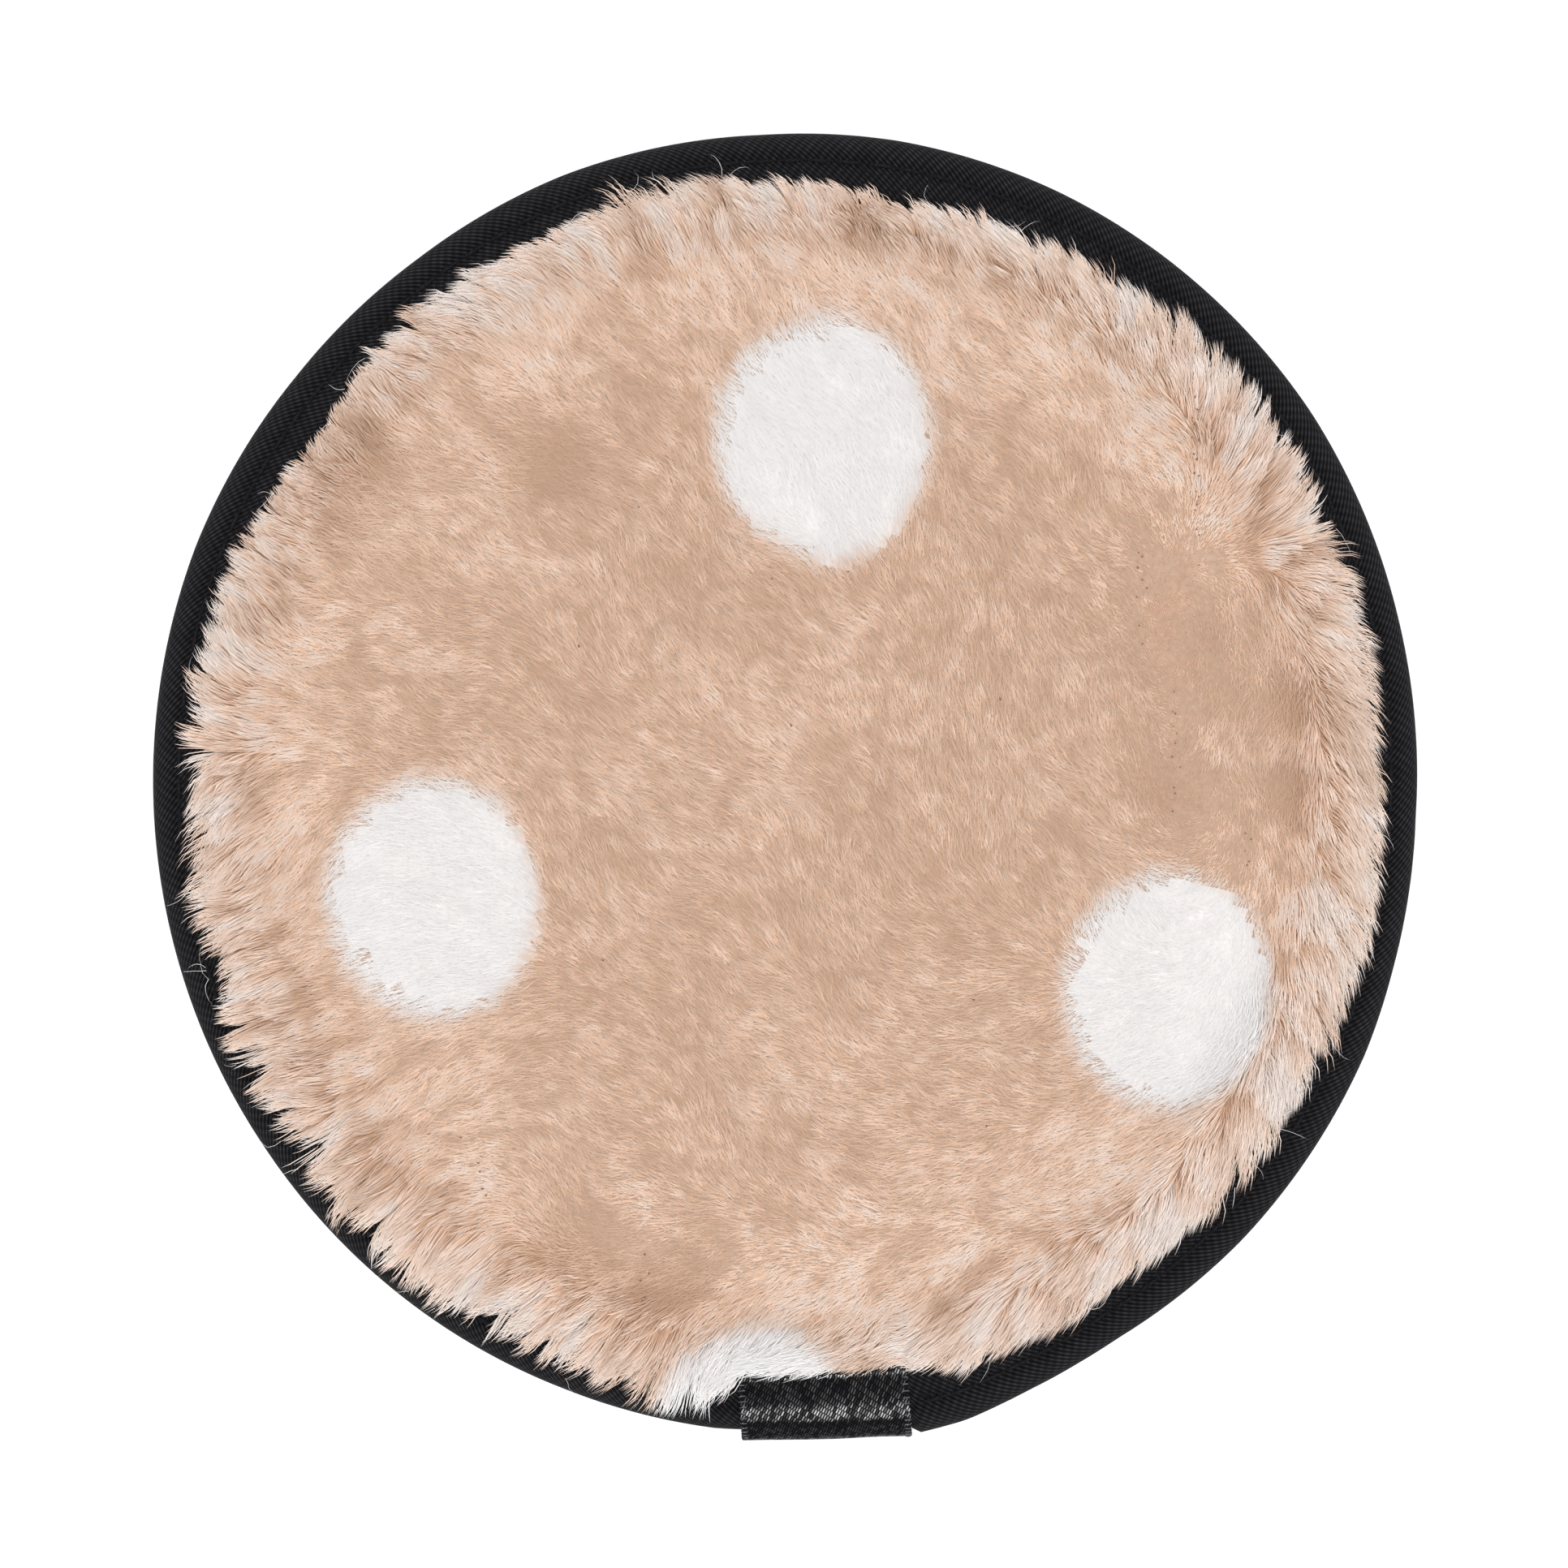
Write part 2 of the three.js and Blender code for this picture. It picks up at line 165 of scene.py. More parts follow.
# How the front was brushed: place x, y and the bearing in degrees that the fibres lie to there
BRUSH_STROKES = (
    (-9, 54, 135), (-20, 48, 135), (0, 46, 132), (14, 44, 140), (-29, 38, 140), (0, 34, 136),
    (18, 36, 136), (28, 42, 130), (35, 34, 130), (-41, 33, 140), (-36, 22, 150), (-47, 18, 142),
    (-27, 18, 152), (-14, 22, 128), (9, 22, 122), (25, 24, 124), (-55, 10, 152), (-42, 9, 150),
    (-27, 8, 148), (-14, 8, 130), (2, 8, 126), (18, 7, 102), (29, 6, 122), (-55, -2, 214),
    (-45, -4, 224), (-36, 1, 166), (-24, -2, 136), (-8, -3, 135), (9, -2, 130), (19, -2, 108),
    (28, -8, 135), (-54, -11, 206), (-46, -15, 222), (-20, -12, 144), (0, -13, 138), (13, -12, 135),
    (-36, -20, 198), (-27, -19, 194), (-14, -21, 142), (2, -23, 138), (-46, -27, 222),
    (-36, -28, 208), (-27, -28, 204), (-16, -31, 142), (-4, -33, 135), (11, -30, 160),
    (21, -27, 174), (-38, -38, 230), (-20, -38, 140), (4, -39, 146), (17, -37, 180), (27, -36, 206),
    (36, -31, 218), (-30, -46, 228), (-20, -53, 222), (-8, -54, 220), (2, -53, 208), (10, -46, 216),
    (20, -45, 212), (29, -45, 226), (20, -55, 242), (39, -42, 230), (48, -30, 240), (53, -17, 256),
    (56, -3, 275), (56, 7, 288), (57, 14, 305), (45, 6, 272), (45, 15, 285), (46, 27, 40),
    (51, 30, 35), (55, 21, 345), (44, 40, 60), (37, 46, 105), (26, 53, 128), (12, 56, 112),
)

# Places where the fibres stand up and part, and the pile is darkened there as painted shade: x, y and how far
# round
PARTINGS = (
    (-40, 28, 6), (-21, 30, 4), (8, 52, 4), (41, 13, 5.5), (47, 9, 5), (36, -1, 3.5), (47, 0, 3.5),
    (-18, -43, 5), (-9, -47, 4), (10, -54.5, 2.2),
)

# Rows of dark fibre ends in the front, painted shade of small gaps in the pile: x, and y from and to
GAP_SHADE_ROWS = (
    (38.4, 35.9, 20.4), (33.4, 22.0, 12.7), (36.5, 8.9, -2.7), (43.4, -3.5, -8.1),
    (-28.3, -33.5, -39.7), (-12.9, -43.6, -49.0), (31.8, -39.0, -40.5),
)

# Fringe by bearing: the inset that the fibre tips reach to on the rim, and how ragged they are there
FRINGE = (
    (0, 3.1, 0.1), (12, 3.1, 0.1), (20, 2.8, 0.4), (45, 2.7, 0.5), (52, 3.5, 0.6), (60, 4.3, 0.8),
    (70, 4.7, 0.8), (77, 5.3, 0.9), (85, 4.6, 0.7), (95, 3.5, 0.6), (104, 3.0, 0.5),
    (110, 4.4, 0.5), (119, 4.1, 0.6), (126, 3.3, 0.8), (134, 3.7, 0.9), (143, 5.1, 0.6),
    (150, 4.6, 0.9), (157, 3.6, 0.7), (166, 3.0, 0.6), (175, 2.6, 0.7), (180, 3.6, 0.8),
    (190, 1.9, 0.7), (197, 2.2, 0.8), (210, 1.6, 0.9), (217, 1.4, 0.9), (224, 0.6, 1.0),
    (235, 0.5, 0.9), (243, 0.6, 0.9), (251, 0.8, 0.8), (260, 0.4, 0.6), (265.5, 1.6, 0.6),
    (267, 5.3, 0.3), (276, 5.8, 0.3), (284, 5.8, 0.4), (289, 4.2, 0.2), (300, 3.8, 0.1),
    (306, 4.2, 0.1), (318, 3.5, 0.1), (330, 3.4, 0.1), (345, 2.8, 0.2),
)

# Fringe of the rear: its inset away from the ribbon and at the ribbon, and how ragged it is
REAR_FRINGE = 3.2
REAR_FRINGE_AT_RIBBON = 5.4
REAR_RAGGED = 0.5

# Ribbon folded over the rim. Its fold has slipped out by RIBBON_SLIP at its two edges, and bows out
# between them.
RIBBON_BEARING = 273.75
RIBBON_WIDTH = 16.0
RIBBON_REACH = 6.0
RIBBON_SEAT = 2.35
RIBBON_OVERHANG = 0.65
RIBBON_SLIP = (-0.1, 0.6)
RIBBON_BOW = 0.16

# Tack stitches of the ribbon, and the floats of its weave
TACK_INSET = 5.4
TACK_HEIGHT = 2.3
TACK_LENGTH = 2.0
FLOAT_LENGTH = 0.55
FLOAT_WIDTH = 0.25

FRONT = 1
REAR = -1


class PadSizes(bpy.types.PropertyGroup):
    """Sizes of the pile, the tape and the ribbon."""

    front_fibres: bpy.props.IntProperty(
        name="Front fibres", description="Fibres over the front's box; those inside the edge grow",
        default=405000, min=1000
    )
    rear_fibres: bpy.props.IntProperty(
        name="Rear fibres", description="Fibres over the rear's box; those inside the edge grow",
        default=60000, min=1000
    )
    rim_fibres: bpy.props.IntProperty(
        name="Rim fibres", description="Further fibres over the front's box; those by the rim grow",
        default=260000, min=0
    )
    fibre_radius: bpy.props.FloatProperty(
        name="Fibre radius", description="Half the thickness of a bunch of fibres", default=0.062 * MM,
        subtype="DISTANCE", unit="LENGTH", precision=6
    )
    pile_lean: bpy.props.FloatProperty(
        name="Pile lean", description="How far a brushed fibre lies over", default=2.1 * MM,
        subtype="DISTANCE", unit="LENGTH", precision=5
    )
    clump_size: bpy.props.FloatProperty(
        name="Clump size", description="Distance between the small clumps of the pile", default=1.1 * MM,
        subtype="DISTANCE", unit="LENGTH", precision=5
    )
    tuft_size: bpy.props.FloatProperty(
        name="Tuft size", description="Distance between the tufts on the rim", default=2.2 * MM,
        subtype="DISTANCE", unit="LENGTH", precision=5
    )
    twill_pitch: bpy.props.FloatProperty(
        name="Twill pitch", description="Distance between the ribs of the tape's twill", default=0.36 * MM,
        subtype="DISTANCE", unit="LENGTH", precision=6
    )
    ribbon_thickness: bpy.props.FloatProperty(
        name="Ribbon thickness", description="Thickness of the satin ribbon", default=0.3 * MM,
        subtype="DISTANCE", unit="LENGTH", precision=6
    )
    stitch_length: bpy.props.FloatProperty(
        name="Stitch length", description="Length of a stitch of the binding's seam", default=3.0 * MM,
        subtype="DISTANCE", unit="LENGTH", precision=5
    )


class PadColours(bpy.types.PropertyGroup):
    """Colours of the pad and of the stage."""

    beige_shaded: bpy.props.FloatVectorProperty(
        name="Beige, shaded", description="Darkest beige fibres", default=(0.565, 0.364, 0.247),
        subtype="COLOR", min=0, max=1
    )
    beige_light: bpy.props.FloatVectorProperty(
        name="Beige, light", description="Lightest beige fibres", default=(0.91, 0.65, 0.49),
        subtype="COLOR", min=0, max=1
    )
    # Also mixed onto the fibre tips as a painted highlight
    beige_tip: bpy.props.FloatVectorProperty(
        name="Beige, tips", description="Pale tips of the beige fibres", default=(0.84, 0.755, 0.705),
        subtype="COLOR", min=0, max=1
    )
    # Dark fibre ends that paint the shade of small gaps in the pile
    gap_shade_end: bpy.props.FloatVectorProperty(
        name="Dark ends", description="Few dark fibre ends in the pile", default=(0.20, 0.11, 0.07),
        subtype="COLOR", min=0, max=1
    )
    white_shaded: bpy.props.FloatVectorProperty(
        name="White, shaded", description="Darkest white fibres", default=(0.84, 0.81, 0.80),
        subtype="COLOR", min=0, max=1
    )
    white_light: bpy.props.FloatVectorProperty(
        name="White, light", description="Lightest white fibres", default=(0.92, 0.90, 0.895),
        subtype="COLOR", min=0, max=1
    )
    twill: bpy.props.FloatVectorProperty(
        name="Twill", description="Black of the tape", default=(0.009, 0.009, 0.0105),
        subtype="COLOR", min=0, max=1
    )
    satin: bpy.props.FloatVectorProperty(
        name="Satin", description="Black of the ribbon", default=(0.006, 0.006, 0.007),
        subtype="COLOR", min=0, max=1
    )
    thread: bpy.props.FloatVectorProperty(
        name="Thread", description="Black of the sewing thread", default=(0.005, 0.005, 0.006),
        subtype="COLOR", min=0, max=1
    )
    floor: bpy.props.FloatVectorProperty(
        name="Floor", description="Pale floor of the stage", default=(0.80, 0.80, 0.80),
        subtype="COLOR", min=0, max=1
    )


def smooth_step(low, high, value):
    """Rises from 0 at low to 1 at high without corners."""
    share = np.clip((value - low) / (high - low), 0, 1)
    return share * share * (3 - 2 * share)


def blend(first, second, share):
    """Mixes two values, from the first at a share of 0 to the second at 1."""
    return first + (second - first) * share


def inset_at(places):
    """How far in from the bound edge each place lies."""
    return HALF_WIDTH * (1 - np.hypot(places[:, 0] / HALF_WIDTH, places[:, 1] / HALF_LENGTH))


def edge_distance(bearing):
    """Distance from the pad's middle to the bound edge at a bearing in degrees."""
    angle = math.radians(bearing)
    return 1 / math.hypot(math.cos(angle) / HALF_WIDTH, math.sin(angle) / HALF_LENGTH)


def on_edge(angles):
    """Places on the bound edge, from angles in radians."""
    return np.column_stack((np.cos(angles) * HALF_WIDTH, np.sin(angles) * HALF_LENGTH))


def spot_middle(bearing, inset):
    """Place of a spot's middle."""
    reach = edge_distance(bearing) - inset
    angle = math.radians(bearing)
    return np.array((reach * math.cos(angle), reach * math.sin(angle)))


def spot_gap(places, middle):
    """How far each place lies from a spot's middle: 1 on the border."""
    return np.linalg.norm((places - middle) / np.array((SPOT_WIDTH / 2, SPOT_LENGTH / 2)), axis=1)


def soft_noise(places, wavelength, seed):
    """Smooth noise from -1 to 1 that changes over about a wavelength."""
    size = 64
    lattice = np.random.default_rng(seed).uniform(-1, 1, (size, size))
    cells = places / wavelength
    low = np.floor(cells).astype(int)
    share = cells - low
    share = share * share * (3 - 2 * share)
    column, row = low[:, 0] % size, low[:, 1] % size
    right, above = (column + 1) % size, (row + 1) % size
    lower = blend(lattice[column, row], lattice[right, row], share[:, 0])
    upper = blend(lattice[column, above], lattice[right, above], share[:, 0])
    return blend(lower, upper, share[:, 1])


def even_spread(count, outer_inset, inner_inset):
    """Evenly spread places on the pad between two insets."""
    steps = np.arange(1, count + 1)
    across, along = ((steps * step) % 1 for step in SPREAD_STEPS)
    places = np.column_stack((HALF_WIDTH * (2 * across - 1), HALF_LENGTH * (2 * along - 1)))
    insets = inset_at(places)
    return places[(insets >= outer_inset) & (insets <= inner_inset)]


def gathered(places, spacing, seed):
    """Middles of clumps a spacing apart, and the clump that each place belongs to."""
    reach = HALF_LENGTH + 2 * spacing
    size = int(math.ceil(2 * reach / spacing)) + 2
    jitter = np.random.default_rng(seed).uniform(0.1, 0.9, (size, size, 2))
    columns, rows = np.meshgrid(np.arange(size), np.arange(size), indexing="ij")
    middles = (np.stack((columns, rows), axis=-1) + jitter) * spacing - reach - spacing
    cell = np.floor((places + reach + spacing) / spacing).astype(int)
    nearest = np.zeros(len(places), int)
    shortest = np.full(len(places), np.inf)
    for column_step in (-1, 0, 1):
        for row_step in (-1, 0, 1):
            column = np.clip(cell[:, 0] + column_step, 0, size - 1)
            row = np.clip(cell[:, 1] + row_step, 0, size - 1)
            distance = np.linalg.norm(middles[column, row] - places, axis=1)
            closer = distance < shortest
            shortest[closer] = distance[closer]
            nearest[closer] = (column * size + row)[closer]
    return middles.reshape(-1, 2), nearest


def brushed(places):
    """Lean of the front pile: as long as 1 where the strokes agree, and shorter where they meet."""
    strokes = np.array(BRUSH_STROKES, float)
    bearings = np.radians(strokes[:, 2])
    ways = np.column_stack((np.cos(bearings), np.sin(bearings)))
    gaps = places[:, None, :] - strokes[None, :, :2]
    pull = 1 / (np.square(gaps).sum(axis=2) + 6) ** 1.5
    return pull @ ways / pull.sum(axis=1)[:, None]


def locks(places, seed):
    """Noise from about -1 to 1 that is drawn out along the brushed way."""
    total = np.zeros(len(places))
    for sense in (-0.7, 0.7):
        spots = places
        for _ in range(4):
            total += soft_noise(spots, 1.5, seed)
            ways = turned(brushed(spots), 20 * soft_noise(spots, 5, seed + 1))
            spots = spots + sense * ways
    return np.clip(total / 4, -1, 1)


def outward(places):
    """Unit vector square to the bound edge, away from the pad."""
    ways = places / np.array((HALF_WIDTH ** 2, HALF_LENGTH ** 2))
    return ways / np.maximum(np.linalg.norm(ways, axis=1), 1e-9)[:, None]


def sideways(ways):
    """Ways turned by a right angle to the left."""
    return np.column_stack((-ways[:, 1], ways[:, 0]))


def turned(ways, degrees):
    """Ways turned to the left by an angle each."""
    angle = np.radians(degrees)[..., None]
    return ways * np.cos(angle) + sideways(ways) * np.sin(angle)


def bearing_of(places):
    """Bearing of each place from the pad's middle, in degrees from 0 to 360."""
    return np.degrees(np.arctan2(places[:, 1], places[:, 0])) % 360


def swollen(places):
    """Lets the pad out where its edge swells past an even oval."""
    plan = places[:, :2]
    marks = np.array(EDGE_SWELL)
    reach = np.hypot(plan[:, 0] / HALF_WIDTH, plan[:, 1] / HALF_LENGTH)
    swell = np.interp(bearing_of(plan), marks[:, 0], marks[:, 1], period=360) * reach ** 4
    return np.column_stack((plan + outward(plan) * swell[:, None], places[:, 2]))


def parted(places):
    """1 in the middle of a parting and 0 away from all of them."""
    share = np.zeros(len(places))
    for x, y, reach in PARTINGS:
        gap = np.hypot(places[:, 0] - x, places[:, 1] - y)
        share = np.maximum(share, np.exp(-np.square(gap / reach)))
    return share


def ribbon_offset(places):
    """Degrees between each place's bearing and the ribbon's."""
    return np.abs((bearing_of(places) - RIBBON_BEARING + 180) % 360 - 180)


def clear_of_ribbon(places):
    """0 beside the ribbon and 1 a few degrees away from it."""
    return smooth_step(7, 10, ribbon_offset(places))


def rim_share(places):
    """1 at the rim and 0 inside it."""
    return 1 - smooth_step(RIM_FROM, RIM_TO, inset_at(places))


def fringe_at(places, face):
    """Inset that the tips reach to on the rim, and how ragged they are."""
    if face == REAR:
        inset = np.where(ribbon_offset(places) < 8, REAR_FRINGE_AT_RIBBON, REAR_FRINGE)
        return inset, np.full(len(places), REAR_RAGGED)
    bearings = bearing_of(places)
    marks = np.array(FRINGE)
    return tuple(np.interp(bearings, marks[:, 0], marks[:, column], period=360) for column in (1, 2))


def brushed_height(insets, face):
    """Height of the brushed surface above the middle plane, on its own side of the pad."""
    apron = blend(APRON_HEIGHT, SKIRT_HEIGHT, np.sqrt(np.clip((insets - 0.5) / (SKIRT_INSET - 0.5), 0, 1)))
    if face == FRONT:
        shoulder = CROWN_HEIGHT - CROWN_RISE
        rise = np.clip((insets - SKIRT_INSET) / (SHOULDER_INSET - SKIRT_INSET), 0, 1)
        side = blend(SKIRT_HEIGHT, shoulder, np.sqrt(1 - np.square(1 - rise)))
        dome = np.clip((insets - SHOULDER_INSET) / (HALF_WIDTH - SHOULDER_INSET), 0, 1)
        top = shoulder + CROWN_RISE * (1 - np.square(1 - dome))
        cover = np.where(insets > SHOULDER_INSET, top, side)
    else:
        rise = np.clip((insets - SKIRT_INSET) / (REST_INSET - SKIRT_INSET), 0, 1)
        cover = blend(SKIRT_HEIGHT, REST_DEPTH, np.sqrt(1 - np.square(1 - rise)))
    return np.where(insets < SKIRT_INSET, apron, cover)


def uprights(places, face):
    """Unit vectors square to the brushed surface over these places."""
    insets = inset_at(places)
    step = 0.4
    slope = (brushed_height(insets + step, face) - brushed_height(insets - step, face)) / (2 * step)
    tilt = outward(places) * np.clip(slope, 0, 1.2)[:, None]
    ways = np.column_stack((tilt, np.full(len(places), float(face))))
    return ways / np.linalg.norm(ways, axis=1)[:, None]


def mat_height(insets, face):
    """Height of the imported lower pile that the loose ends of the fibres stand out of."""
    top = brushed_height(insets, face) - NAP_DEPTH
    return blend(FOOT_HEIGHT, top, np.sqrt(smooth_step(FOOT_INSET, 15, insets)))


def lean_of(places, face, lean, seed):
    """How far and where the fibres rooted at these places lie over, in plan."""
    hanging = 1 - smooth_step(FOOT_INSET, HANG_TO, inset_at(places))
    away = outward(places)
    along = sideways(away)
    if face == FRONT:
        way = brushed(places)
        way *= (1 - 0.4 * parted(places))[:, None]
    else:
        way = turned(away, 60 * soft_noise(places, 30, seed + 5)) * 0.8
    way = turned(way, 24 * soft_noise(places, 7, seed) + 16 * soft_noise(places, 2.3, seed + 1))
    cover, ragged = fringe_at(places, face)
    uneven = (0.04 + 0.14 * ragged) * soft_noise(places, 2.6, seed + 2)
    reach = (FOOT_INSET - cover) * (1 + uneven * clear_of_ribbon(places))
    aside = (way * along).sum(axis=1) * 1.8 * lean
    over_rim = away * reach[:, None] + along * aside[:, None]
    length = lean * (1 + 0.16 * soft_noise(places, 4, seed + 4))
    return blend(way * length[:, None], over_rim, hanging[:, None])


def tips_of(places, travel, face, depth):
    """Tips in plan and height: each lies a depth under the brushed surface."""
    ends = places + travel
    height = brushed_height(inset_at(ends), face) - depth
    return np.column_stack((ends, height))


def grown_pile(places, face, sizes, seed):
    """Roots, bends, tips and shades of the fibres rooted at these places."""
    lean = sizes.pile_lean / MM * (1 if face == FRONT else 0.8)
    chance = np.random.default_rng(seed)
    count = len(places)
    insets = inset_at(places)
    rim = rim_share(places)
    along = sideways(outward(places))
    depth = 0.05 + 0.6 * chance.random(count) ** 2 + 0.4 * rim * chance.random(count)
    combed = locks(places, seed + 30) * (1 - 0.6 * smooth_step(10, 32, insets))
    depth += 0.4 * np.maximum(-combed, 0)
    ragged = fringe_at(places, face)[1]
    fringe_reach = 1.1 - blend(0.12, 0.5, ragged) * chance.random(count)
    reach = blend(chance.uniform(0.78, 1.22, count), fringe_reach, rim)
    travel = lean_of(places, face, lean, seed + 10)
    unruly = blend(24, blend(6, 13, ragged), rim)
    travel = turned(travel, chance.normal(0, 1, count) * unruly) * reach[:, None]
    tips = tips_of(places, travel, face, depth)

    tufted = rim * clear_of_ribbon(places)
    loose = 1 - 0.8 * parted(places) if face == FRONT else np.ones(count)
    pale = chance.random(count) < PALE_SHARE
    single = chance.normal(0, SHADE_SINGLE, count) + SHADE_PALE * pale
    shades = SHADE_MIDDLE + SHADE_PATCHES * soft_noise(places, 7, seed + 1)
    # Random shade of single fibres, and the lock streaks whose sunken fibres are darker as painted shade
    shades += single * (1 - 0.4 * rim) + LOCK_TONE_AND_GROOVE_SHADE * combed
    clump, tuft = sizes.clump_size / MM, sizes.tuft_size / MM
    tuft_hold = (0.12 + (0.2 + 0.25 * ragged) * tufted) * loose
    for spacing, spread, hold, point, tone, offset in (
        (clump, 0.4, 0.38 * (1 - rim) * loose, 0.0, 0.2, 2),
        (tuft, 0.6, tuft_hold, 0.2, 0.1 + 0.1 * rim, 3),
        (1.3 * tuft, 0.6, 0.45 * tufted * ragged, 0.3, 0.0, 4),
    ):
        middles, owner = gathered(places, spacing, seed + offset)
        clump_travel = lean_of(middles, face, lean, seed + 10)
        clump_chance = np.random.default_rng(seed + 20 + offset)
        calm = 1 - 0.7 * (1 - fringe_at(middles, face)[1]) * rim_share(middles)
        clump_travel = turned(clump_travel, clump_chance.normal(0, 13, len(middles)) * calm)
        clump_travel *= (1 + clump_chance.uniform(-0.15, 0.15, len(middles)) * calm)[:, None]
        gap = places - middles[owner]
        aside = np.minimum(np.abs((gap * along).sum(axis=1)) / (0.55 * spacing), 1)
        pointed = reach * (1.08 - point * rim * np.square(aside))
        clump_depth = clump_chance.uniform(0, 0.4, len(middles))[owner]
        gathered_travel = clump_travel[owner] * pointed[:, None] + spread * gap
        target = tips_of(middles[owner], gathered_travel, face, clump_depth + 0.6 * depth)
        tips = blend(tips, target, hold[:, None])
        # Fibres at the edge of a clump are darker, a painted shade between the clumps, over a random tone for
        # each clump
        outer = np.minimum(np.linalg.norm(gap, axis=1) / (0.6 * spacing), 1)
        uneven = clump_chance.normal(0, 0.5, len(middles))[owner] + 0.45 - np.square(outer)
        shades += tone * uneven * loose

    over_edge = np.maximum(EDGE_KEPT + 0.7 * chance.random(count) ** 2 - inset_at(tips[:, :2]), 0)
    tips[:, :2] -= outward(tips[:, :2]) * over_edge[:, None]
    roots = np.column_stack((places, mat_height(insets, face) - ROOT_DEPTH))
    # Darker in the partings: painted shade
    shades += PARTING_PAINTED_SHADE * (loose - 1) + SHADE_OUTER * (1 - smooth_step(8, 26, insets))
    # Fibres whose tips lie deeper are darker: painted shade
    shades = np.clip(shades - DEPTH_PAINTED_SHADE * (depth - 0.3), SHADE_LOWEST, 0.9)
    shades += SHADE_FRINGE * (1 - smooth_step(FOOT_INSET, 9.5, insets))
    return roots, bends_of(roots, tips), tips, np.clip(shades, SHADE_LOWEST, 1)


def bends_of(roots, tips):
    """Where the fibres bend: half way inside, and outwards first at the rim."""
    plan = roots[:, :2]
    away = outward(plan)
    along = sideways(away)
    rim = 1 - smooth_step(BENT_FROM, BENT_TO, inset_at(plan))
    gap = tips[:, :2] - plan
    out = np.maximum((gap * away).sum(axis=1), 0) * 0.85
    side = (gap * along).sum(axis=1) * 0.3
    over_rim = plan + away * out[:, None] + along * side[:, None]
    places = blend(blend(plan, tips[:, :2], 0.4), over_rim, rim[:, None])
    return np.column_stack((places, blend(roots[:, 2], tips[:, 2], 0.8) + 0.25))


def spot_share(roots, tips, middle, seed):
    """How white each fibre is in a spot whose border fades over about two millimetres."""
    seen = blend(roots[:, :2], tips[:, :2], SEEN_SHARE)
    stray = np.random.default_rng(seed).normal(0, 0.03, len(seen))
    ragged = 0.025 * soft_noise(seen, 5, seed) + 0.03 * soft_noise(seen, 1.4, seed + 1)
    return 1 - smooth_step(0.87, 1.12, spot_gap(seen, middle) + ragged + stray)


def deselect_all():
    """Leaves edit mode and lets go of every object."""
    if bpy.context.mode != "OBJECT":
        bpy.ops.object.mode_set(mode="OBJECT")
    bpy.ops.object.select_all(action="DESELECT")


def named_piece(name):
    """Names the object that was just added."""
    piece = bpy.context.active_object
    piece.name = name
    piece.data.name = name
    return piece


def dressed(piece, slot, *materials):
    """Puts a piece on the pad's body in its finish."""
    piece.data.materials.clear()
    for material in materials:
        piece.data.materials.append(material)
    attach(piece, "root")
    return piece


def new_mesh_piece(name, vertices, triangles):
    """A piece from arrays of places in millimetres, in the pad's own frame, and of triangles."""
    mesh = bpy.data.meshes.new(name)
    mesh.vertices.add(len(vertices))
    mesh.vertices.foreach_set("co", (vertices * MM).astype(np.float32).ravel())
    mesh.loops.add(triangles.size)
    mesh.loops.foreach_set("vertex_index", triangles.astype(np.int32).ravel())
    mesh.polygons.add(len(triangles))
    mesh.polygons.foreach_set("loop_start", np.arange(0, triangles.size, 3, dtype=np.int32))
    mesh.update(calc_edges=True)
    mesh.shade_smooth()
    piece = bpy.data.objects.new(name, mesh)
    bpy.context.scene.collection.objects.link(piece)
    return piece


def strands(line, sides, girth, shades, upright):
    """Corners, triangles, map and soft shading of closed fibres that taper along a line of places each."""
    count = len(shades)
    rings = len(line) - 1
    corners, spread, normals = [], [], []
    heights = 0.02 + 0.96 * np.linspace(0, 1, rings + 1) ** (1 if rings == 1 else 0.25)
    for ring, (place, along) in enumerate(zip(line, heights)):
        taper = 1 - 0.6 * ring / rings
        for corner in range(3 if ring < rings else 1):
            angle = corner * 2 * math.pi / 3
            spoke = sides[0] * math.cos(angle) + sides[1] * math.sin(angle)
            if ring == rings:
                spoke = spoke * 0
            corners.append(place + spoke * (girth * taper)[:, None])
            normals.append(blend(upright, spoke, SPOKE_SHARE))
            spread.append(np.column_stack((shades + 0.006 * corner, np.full(count, along))))
    faces = [(0, 2, 1)]
    for ring in range(rings):
        for corner in range(3):
            first, second = 3 * ring + corner, 3 * ring + (corner + 1) % 3
            if ring < rings - 1:
                faces += [(first, second, second + 3), (first, second + 3, first + 3)]
            else:
                faces.append((first, second, 3 * rings))
    triangles = np.arange(count)[:, None, None] * len(corners) + np.array(faces)[None]
    normals = np.stack(normals, 1).reshape(-1, 3)
    normals /= np.linalg.norm(normals, axis=1)[:, None]
    corners = np.stack(corners, 1).reshape(-1, 3)
    return corners, triangles.reshape(-1, 3), np.stack(spread, 1).reshape(-1, 2), normals


